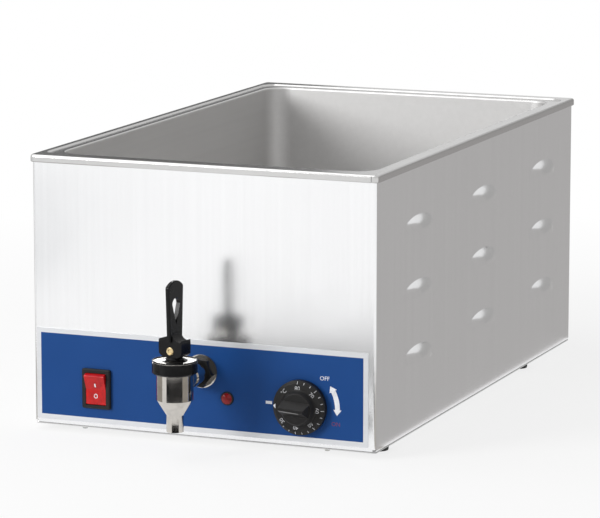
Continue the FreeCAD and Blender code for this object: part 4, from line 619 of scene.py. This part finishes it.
class WarmerTrimSettings(bpy.types.PropertyGroup):
    """Plastics, rubber and bright metals."""

    black: FloatVectorProperty(
        name="Black plastic", description="Switch housing, lamp and gland", subtype="COLOR", size=3,
        default=(0.016, 0.016, 0.017), min=0, max=1)
    gloss: FloatVectorProperty(
        name="Gloss black", description="Tap handle, ring and boss", subtype="COLOR", size=3,
        default=(0.006, 0.006, 0.0065), min=0, max=1)
    dial: FloatVectorProperty(
        name="Knob plastic", description="Thermostat knob", subtype="COLOR", size=3,
        default=(0.014, 0.0135, 0.0135), min=0, max=1)
    chrome: FloatVectorProperty(
        name="Chrome", description="Tap body and shank nuts", subtype="COLOR", size=3,
        default=(0.63, 0.60, 0.56), min=0, max=1)
    brass: FloatVectorProperty(
        name="Brass", description="Pivot pin, terminals and earth stud", subtype="COLOR", size=3,
        default=(0.86, 0.71, 0.42), min=0, max=1)


class WarmerStudioSettings(bpy.types.PropertyGroup):
    """Floor, lamps and camera."""

    floor: FloatVectorProperty(
        name="Floor", description="Colour of the floor", subtype="COLOR", size=3,
        default=(0.93, 0.93, 0.93), min=0, max=1)
    ambient: FloatProperty(
        name="Ambient light", description="Light from all around", default=0.42, min=0, max=2)
    key_power: FloatProperty(
        name="Main lamp", description="Power of the large lamp overhead", subtype="POWER", unit="POWER",
        default=26.0, min=0)
    fill_power: FloatProperty(
        name="Front lamp", description="Power of the lamp at the front left", subtype="POWER", unit="POWER",
        default=78.0, min=0)
    shadow_fade: FloatProperty(
        name="Shadow fade", description="How far the shadow beside the object fades to white",
        subtype="FACTOR", default=0.78, min=0, max=1)
    lens: FloatProperty(
        name="Focal length", description="Camera's focal length in millimetres", subtype="DISTANCE_CAMERA",
        default=215.38, min=20)


# ---------------------------------------------------------------- the stage


CAMERA_PLACE = (1.2936, -3.1813, 0.7450)
CAMERA_TURN = (79.863, 0.0, 22.215)  # degrees
FLOOR_HALF = 14.0
FLOOR_GAP = 0.0002  # the floor lies this far under the feet
CARD_LEVEL = 0.004  # cards that lie on the floor
LOW_CARD_LEVEL = 0.003


def lamp(name, place, aim, width, power):
    light = bpy.data.lights.new(name, "AREA")
    light.shape = "SQUARE"
    light.size = width
    light.energy = power
    holder = bpy.data.objects.new(name, light)
    holder.location = place
    holder.rotation_euler = (Vector(aim) - Vector(place)).to_track_quat("-Z", "Y").to_euler()
    bpy.context.scene.collection.objects.link(holder)


def grey_card(name, corners, tint):
    """A card that only shows in reflections, so that bright metal has something darker to mirror."""
    mesh = bpy.data.meshes.new(name)
    faces = [[k, k + 1, k + 3, k + 2] for k in range(0, len(corners) - 2, 2)]
    mesh.from_pydata(corners, [], faces)
    material = bpy.data.materials.new(name)
    material.use_nodes = True
    tree = material.node_tree
    tree.nodes.remove(tree.nodes["Principled BSDF"])
    glow = add_node(tree, "ShaderNodeEmission")
    glow.inputs["Color"].default_value = with_alpha(tint)
    join(tree, glow.outputs[0], tree.nodes["Material Output"].inputs["Surface"])
    mesh.materials.append(material)
    card = bpy.data.objects.new(name, mesh)
    bpy.context.scene.collection.objects.link(card)
    card.visible_camera = False
    card.visible_diffuse = False
    card.visible_shadow = False
    card.visible_transmission = False
    card.visible_volume_scatter = False


def lying(x_near, x_far, y_near, y_far, level):
    """Corners of a card that lies flat."""
    return [(x, y, level) for x in (x_near, x_far) for y in (y_near, y_far)]


def standing(x_left, x_right, y, low, high):
    """Corners of a card that stands upright and faces the front."""
    return [(x, y, z) for z in (low, high) for x in (x_left, x_right)]


def floor_arc(middle, inner, outer, start, end):
    """Corners of a flat arc just above the floor, in degrees from straight in front towards the right."""
    steps = 16
    corners = []
    for k in range(steps + 1):
        angle = math.radians(start + (end - start) * k / steps)
        for reach in (inner, outer):
            x = middle.x + reach * math.sin(angle)
            y = middle.y - reach * math.cos(angle)
            corners.append((x, y, LOW_CARD_LEVEL))
    return corners


def set_cards():
    """Cards beside, behind and in front of the object, and small arcs round the tap."""
    left = cad_box[0].x - 0.002
    right = cad_box[1].x + 0.002
    rear = cad_box[1].y + 0.002
    start = -0.24
    reach = 3.0
    back = 4.0
    right_card = lying(right, reach, start, back, CARD_LEVEL) + [(reach, start, 2.4), (reach, back, 2.4)]
    front_left = [(-0.46, -0.72, LOW_CARD_LEVEL), (-2.0, -0.72, LOW_CARD_LEVEL),
                  (-0.66, -1.45, LOW_CARD_LEVEL), (-2.0, -1.45, LOW_CARD_LEVEL)]
    grey_card("card_right", right_card, (0.42, 0.41, 0.405))
    grey_card("card_far", standing(-0.7, reach, back, CARD_LEVEL, 1.7), (0.38, 0.375, 0.37))
    grey_card("card_back", standing(-2.7, -1.64, back + 0.2, 0.45, 2.4), (0.12, 0.12, 0.12))
    grey_card("card_left", front_left, (0.66, 0.67, 0.68))
    grey_card("card_beside", lying(left, -reach, start, back, CARD_LEVEL), (0.52, 0.515, 0.51))
    grey_card("card_behind", lying(-0.6, 0.6, rear, back, LOW_CARD_LEVEL), (0.5, 0.497, 0.49))

    low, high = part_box("bonnet_cap")
    tap = (low + high) / 2
    dark = (0.01, 0.01, 0.011)
    dim = (0.40, 0.38, 0.35)
    grey_card("card_front", floor_arc(tap, 0.23, 0.38, -28.0, 72.0), dark)
    grey_card("card_spout", floor_arc(tap, 0.07, 0.14, -20.0, 72.0), dark)
    grey_card("card_tap_left", floor_arc(tap, 0.2, 0.5, -120.0, -58.0), dim)
    grey_card("card_tap_right", floor_arc(tap, 0.2, 0.5, 70.0, 120.0), dim)


def seen_directly(tree):
    """1 for the camera's own rays and for those that it sees in metal or through plastic."""
    path = add_node(tree, "ShaderNodeLightPath")
    either = sum_up(tree, "MAXIMUM", path.outputs["Is Camera Ray"], path.outputs["Is Glossy Ray"])
    return sum_up(tree, "MAXIMUM", either, path.outputs["Is Transmission Ray"])


def floor_finish(colour, shadow_fade):
    """A pale floor that keeps a soft shadow near the object and turns white further out."""
    fade_start = 0.35
    fade_end = 1.1
    material, tree, shader = new_finish("studio_floor", 0.85, Specular_IOR_Level=0.0)
    marks = place_group(tree, handling_group(), Patch_size=0.9)
    soft = scaled(colour, 0.985)
    join(tree, blend_colours(tree, marks.outputs["Smears"], colour, soft), shader.inputs["Base Color"])
    white = add_node(tree, "ShaderNodeEmission")
    away = add_node(tree, "ShaderNodeVectorMath", operation="LENGTH")
    join(tree, object_place(tree), away.inputs[0])
    outside = spread(tree, away.outputs["Value"], fade_start, fade_end, shadow_fade, 1.0)
    choice = add_node(tree, "ShaderNodeMixShader")
    join(tree, sum_up(tree, "MULTIPLY", seen_directly(tree), outside), choice.inputs[0])
    join(tree, shader.outputs[0], choice.inputs[1])
    join(tree, white.outputs[0], choice.inputs[2])
    join(tree, choice.outputs[0], tree.nodes["Material Output"].inputs["Surface"])
    return material


def set_world(ambient):
    """Even light from all around, which looks white wherever it is seen."""
    world = bpy.data.worlds.new("studio")
    bpy.context.scene.world = world
    world.use_nodes = True
    tree = world.node_tree
    around = tree.nodes["Background"]
    around.inputs["Color"].default_value = (1.0, 1.0, 1.0, 1.0)
    around.inputs["Strength"].default_value = ambient
    seen = add_node(tree, "ShaderNodeBackground")
    seen.inputs["Strength"].default_value = 1.0
    choice = add_node(tree, "ShaderNodeMixShader")
    join(tree, seen_directly(tree), choice.inputs[0])
    join(tree, around.outputs[0], choice.inputs[1])
    join(tree, seen.outputs[0], choice.inputs[2])
    join(tree, choice.outputs[0], tree.nodes["World Output"].inputs["Surface"])


class WARMER_OT_build_studio(bpy.types.Operator):
    """Pale floor, soft lamps, white surroundings and the camera at the photograph's angle"""

    bl_idname = "warmer.build_studio"
    bl_label = "Build studio"

    def execute(self, context):
        look = context.scene.warmer_studio
        camera = bpy.data.cameras.new("view_camera")
        camera.lens = look.lens
        camera.sensor_width = 36.0
        camera.clip_end = 60.0
        holder = bpy.data.objects.new("view_camera", camera)
        holder.location = CAMERA_PLACE
        holder.rotation_euler = Euler([math.radians(turn) for turn in CAMERA_TURN])
        context.scene.collection.objects.link(holder)
        context.scene.camera = holder

        mesh = bpy.data.meshes.new("studio_floor")
        level = cad_box[0].z - FLOOR_GAP
        corners = lying(-FLOOR_HALF, FLOOR_HALF, -FLOOR_HALF, FLOOR_HALF, level)
        mesh.from_pydata(corners, [], [[0, 2, 3, 1]])
        mesh.materials.append(floor_finish(tuple(look.floor), look.shadow_fade))
        floor = bpy.data.objects.new("studio_floor", mesh)
        context.scene.collection.objects.link(floor)

        set_cards()
        lamp("lamp_overhead", (-1.2, -0.6, 3.0), (0, 0, 0.1), 2.6, look.key_power)
        lamp("lamp_front", (-2.2, -2.8, 1.4), (0, 0, 0.12), 1.4, look.fill_power)
        set_world(look.ambient)
        context.scene.view_settings.view_transform = "Standard"
        return {"FINISHED"}


# ---------------------------------------------------------------- finishes on the solids


class WARMER_OT_finish_sheet_metal(bpy.types.Operator):
    """Brushed casing, satin rim and well, and the plain steel inside and below"""

    bl_idname = "warmer.finish_sheet_metal"
    bl_label = "Sheet metal"

    def execute(self, context):
        look = context.scene.warmer_steel
        upright = (1500.0, 1500.0, 9.0)
        lengthwise = (1200.0, 10.0, 1200.0)
        casing = brushed_steel("brushed casing", tuple(look.casing), look.roughness, upright, 0.05,
                               look.grain_depth, tone=0.015)
        give(casing, "casing_wrap", "rear_panel")
        # The satin top and the drawn well take the darker rim colour, which is painted shade on the rim and in the
        # well.
        satin = brushed_steel("satin top", tuple(look.rim), look.rim_roughness, lengthwise, 0.08,
                              look.grain_depth, tone=0.02)
        dull_inside(satin, look.well_roughness, *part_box("rim_frame"))
        give(satin, "rim_frame")
        drawn = brushed_steel("drawn well", tuple(look.rim), look.well_roughness, lengthwise, 0.08,
                              look.grain_depth, tone=0.02)
        give(drawn, "well_tank")
        sheet = brushed_steel("plain steel", tuple(look.inner), 0.38, (500.0, 500.0, 500.0), 0.06,
                              look.grain_depth / 2, tone=0.04)
        give(sheet, "base_plate", "bulb_clips", "tap_spring", "drain_socket", "drain_elbow", "hose_clips",
             "clamp_plate", "clamp_studs")
        zinc = plated_metal("zinc plate", (0.58, 0.60, 0.62), 0.34, patch_size=0.004,
                            tarnish=(0.48, 0.47, 0.43))
        give(zinc, *in_slot("zinc_steel"))
        return {"FINISHED"}


class WARMER_OT_finish_control_film(bpy.types.Operator):
    """Blue field and silver border of the control film"""

    bl_idname = "warmer.finish_control_film"
    bl_label = "Control film"

    def execute(self, context):
        low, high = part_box("control_label")
        give(printed_film("control film", context.scene.warmer_panel, low, high), "control_label")
        return {"FINISHED"}


DASH_PLACE = (0.0662, 0.0450)  # across and up, on the film
OFF_PLACE = (0.1206, 0.0712)
ON_PLACE = (0.1315, 0.0300)
ARROW_TURN = (53.0, 99.5)  # degrees past twelve o'clock


class WARMER_OT_print_panel_marks(bpy.types.Operator):
    """Index dash, OFF, ON and the curved arrow beside the knob"""

    bl_idname = "warmer.print_panel_marks"
    bl_label = "Panel marks"

    def execute(self, context):
        look = context.scene.warmer_panel
        white = ink("white ink", tuple(look.white_ink))
        red = ink("red ink", tuple(look.red_ink))
        flat_piece("index_dash", bar_outline(0.0031, 0.00135), INK, upright_on("control_label", *DASH_PLACE),
                   white, "casing")
        text_piece("word_off", "OFF", look.letter_height, upright_on("control_label", *OFF_PLACE), white,
                   "casing")
        text_piece("word_on", "ON", look.letter_height, upright_on("control_label", *ON_PLACE), red,
                   "casing")
        centre = knob_centre()
        film = Vector((centre.x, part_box("control_label")[0].y, centre.z))
        arrow = arrow_outline(look.arrow_radius, *ARROW_TURN, 0.0046, 0.0080, 9.0)
        flat_piece("turn_arrow", arrow, INK, laid_on(film, Vector((0, -1, 0)), UP), white,
                   "casing")
        return {"FINISHED"}


def arrow_outline(radius, start, end, shaft_width, head_width, head_turn):
    """A double-headed arrow bent round a centre; angles in degrees past twelve o'clock."""

    def at(reach, degrees):
        angle = math.radians(degrees)
        return (reach * math.sin(angle), reach * math.cos(angle))

    steps = 10
    inner = radius - shaft_width / 2
    outer = radius + shaft_width / 2
    low = start + head_turn
    high = end - head_turn
    outline = [at(radius, start), at(radius + head_width / 2, low)]
    for k in range(steps + 1):
        outline.append(at(outer, low + (high - low) * k / steps))
    outline += [at(radius + head_width / 2, high), at(radius, end), at(radius - head_width / 2, high)]
    for k in range(steps + 1):
        outline.append(at(inner, high + (low - high) * k / steps))
    outline.append(at(radius - head_width / 2, low))
    return list(reversed(outline))


ROCKER_MIDDLE = -0.1057
ON_MARK_HEIGHT = 0.0475
OFF_MARK_HEIGHT = 0.0372


class WARMER_OT_finish_switch(bpy.types.Operator):
    """Rocker switch and pilot lamp: black housings, red plastic, and the I and O marks"""

    bl_idname = "warmer.finish_switch"
    bl_label = "Switch and lamp"

    def execute(self, context):
        look = context.scene.warmer_panel
        trim = context.scene.warmer_trim
        give(red_plastic("rocker red", tuple(look.rocker_red)), "rocker_button")
        give(red_plastic("lens red", tuple(look.lens_red)), "lamp_lens")
        black = moulded_plastic("black plastic", tuple(trim.black), 0.38, 0.0006, 0.000012, (0.07, 0.07, 0.07))
        give(black, *in_slot("black_plastic"))

        white = ink("switch mark ink", tuple(look.white_ink))
        flat_piece("mark_on_bar", bar_outline(0.0006, 0.0019), STAMP,
                   upright_on("rocker_button", ROCKER_MIDDLE, ON_MARK_HEIGHT), white,
                   "rocker")
        ring = [(0.0019, 0.0), (0.0019, STAMP), (0.0013, STAMP), (0.0013, 0.0)]
        turned_piece("mark_off_ring", ring, 28, 1.15,
                     upright_on("rocker_button", ROCKER_MIDDLE, OFF_MARK_HEIGHT), white,
                     "rocker")
        return {"FINISHED"}


NUMBER_STEP = 47.5  # degrees from one number to the next
NUMBER_FIRST = -2.5  # degrees past twelve o'clock
NUMBER_REACH = 0.0182
TICK_REACH = 0.0232
TICKS_PER_NUMBER = 3


class WARMER_OT_finish_knob(bpy.types.Operator):
    """Thermostat knob: black plastic, stamped numbers, ticks, pointer and a painted highlight along the grip"""

    bl_idname = "warmer.finish_knob"
    bl_label = "Knob and its marks"

    def execute(self, context):
        look = context.scene.warmer_panel
        trim = context.scene.warmer_trim
        plastic = moulded_plastic("knob plastic", tuple(trim.dial), 0.36, 0.0005, 0.00001,
                                  (0.09, 0.086, 0.082), wear=0.7)
        give(plastic, "thermostat_knob")
        stamped = ink("stamped ink", scaled(look.white_ink, 0.62), 0.5)
        bright = ink("pointer ink", tuple(look.white_ink))
        centre = knob_centre()

        def on_knob(degrees, reach):
            way = clock_way(degrees)
            spot = centre + way * reach
            point, normal = surface_point("thermostat_knob", spot.x, spot.z)
            return laid_on(point, normal, way)

        numbers = [(words, NUMBER_FIRST + NUMBER_STEP * place, NUMBER_REACH)
                   for place, words in enumerate(("80", "70", "60", "50", "40"))]
        for words, degrees, reach in numbers + [("30", 231.0, 0.0200)]:
            text_piece("number_" + words, words, look.numeral_height, on_knob(degrees, reach), stamped,
                       "dial")
        text_piece("degree_mark", "°C", look.numeral_height, on_knob(-45.0, 0.0198), stamped,
                   "dial")
        for place in range(15):
            half = 0.0011 if place % TICKS_PER_NUMBER else 0.0015
            degrees = NUMBER_FIRST + NUMBER_STEP / TICKS_PER_NUMBER * place
            flat_piece(f"tick_{place:02d}", bar_outline(0.0003, half), INK, on_knob(degrees, TICK_REACH),
                       stamped, "dial")
        # The pale grey stripe along the grip's crest is a painted highlight, standing for the sheen that runs
        # along that edge.
        highlight_start = centre + Vector((-0.0158, 0.0, -0.0008))
        highlight_end = centre + Vector((0.0052, 0.0, -0.0024))
        stripe_piece("grip_highlight", "thermostat_knob", highlight_start, highlight_end, 0.0013,
                     ink("painted grip highlight", (0.26, 0.255, 0.25)), "dial")
        pointer = [(-0.0023, -0.0016), (0.0023, -0.0016), (0.0, 0.0019)]
        flat_piece("pointer_mark", pointer, INK, on_knob(271.0, 0.0235), bright, "dial")
        return {"FINISHED"}


def ring_lip(material):
    """The screw ring's raised lip, which stands round the bright cap plate."""
    width = 0.0011
    height = 0.0019
    foot = -0.0012
    corner = 0.0004
    low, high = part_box("bonnet_ring")
    outer = (high.x - low.x) / 2 - 0.00025
    section = [(outer, foot), (outer, height - corner), (outer - corner, height),
               (outer - width + corner, height), (outer - width, height - corner), (outer - width, foot)]
    placing = Matrix.Translation(((low.x + high.x) / 2, (low.y + high.y) / 2, high.z))
    turned_piece("bonnet_lip", section, 72, 1.0, placing, material, "casing")


class WARMER_OT_finish_tap(bpy.types.Operator):
    """Tap: chrome body and nuts, gloss black handle, ring and boss, brass pin, clear seat and hose"""

    bl_idname = "warmer.finish_tap"
    bl_label = "Tap and drain"

    def execute(self, context):
        trim = context.scene.warmer_trim
        chrome = plated_metal("chrome plate", tuple(trim.chrome), 0.07, ripple=0.000003, dulling=0.04)
        give(chrome, *in_slot("chrome_plate"))
        gloss = moulded_plastic("gloss black plastic", tuple(trim.gloss), 0.16, 0.003, 0.00002,
                                (0.035, 0.035, 0.036), 0.2, shine=0.16)
        give(gloss, *in_slot("gloss_black"))
        ring_lip(gloss)
        brass = plated_metal("brass", tuple(trim.brass), 0.22, patch_size=0.003, tarnish=(0.66, 0.48, 0.24))
        give(brass, "pivot_pin", "rocker_terminals", "earth_stud", "earth_nuts")
        silicone = soft_finish("clear silicone", (0.72, 0.72, 0.69), 0.35, 0.0012, 0.00001,
                               Subsurface_Weight=0.5)
        give(silicone, "seat_cup", "drain_hose")
        return {"FINISHED"}


class WARMER_OT_finish_inner_parts(bpy.types.Operator):
    """Feet, heater, thermostat tube, insulation and terminal block"""

    bl_idname = "warmer.finish_inner_parts"
    bl_label = "Feet and inner parts"

    def execute(self, context):
        rubber = soft_finish("black rubber", (0.018, 0.018, 0.019), 0.72, 0.0008, 0.00004)
        give(rubber, "rubber_feet", "gland_seal")
        copper = plated_metal("copper tube", (0.86, 0.44, 0.27), 0.3, patch_size=0.006,
                              tarnish=(0.42, 0.20, 0.11))
        give(copper, *in_slot("copper_tube"))
        sheath = plated_metal("heater sheath", (0.42, 0.42, 0.38), 0.46, patch_size=0.01,
                              tarnish=(0.22, 0.2, 0.16))
        give(sheath, "heater_element")
        wool = soft_finish("glass wool", (0.80, 0.74, 0.52), 0.95, 0.0015, 0.0006)
        give(wool, "insulation_pad")
        ceramic = soft_finish("white ceramic", (0.80, 0.79, 0.75), 0.32, 0.0009, 0.00001)
        give(ceramic, *in_slot("ceramic_white"))
        return {"FINISHED"}


PIECES = (
    WARMER_OT_build_studio,
    WARMER_OT_finish_sheet_metal,
    WARMER_OT_finish_control_film,
    WARMER_OT_print_panel_marks,
    WARMER_OT_finish_switch,
    WARMER_OT_finish_knob,
    WARMER_OT_finish_tap,
    WARMER_OT_finish_inner_parts,
)

SETTINGS = {
    "warmer_steel": WarmerSteelSettings,
    "warmer_panel": WarmerPanelSettings,
    "warmer_trim": WarmerTrimSettings,
    "warmer_studio": WarmerStudioSettings,
}


class WARMER_PT_looks(bpy.types.Panel):
    """Settings of the warmer's looks and a button for each group of pieces"""

    bl_idname = "WARMER_PT_looks"
    bl_label = "Food warmer"
    bl_space_type = "VIEW_3D"
    bl_region_type = "UI"
    bl_category = "Warmer"

    def draw(self, context):
        for name, group in SETTINGS.items():
            column = self.layout.column(align=True)
            for key in group.__annotations__:
                column.prop(getattr(context.scene, name), key)
        for operator in PIECES:
            self.layout.operator(operator.bl_idname)


def register():
    for group in SETTINGS.values():
        bpy.utils.register_class(group)
    for operator in PIECES:
        bpy.utils.register_class(operator)
    bpy.utils.register_class(WARMER_PT_looks)
    for name, group in SETTINGS.items():
        setattr(bpy.types.Scene, name, PointerProperty(type=group))


def unregister():
    for name in SETTINGS:
        delattr(bpy.types.Scene, name)
    for kind in (WARMER_PT_looks, *reversed(PIECES), *reversed(SETTINGS.values())):
        bpy.utils.unregister_class(kind)


def main():
    register()
    for operator in PIECES:
        group, name = operator.bl_idname.split(".")
        getattr(getattr(bpy.ops, group), name)()


if __name__ == "__main__":
    main()
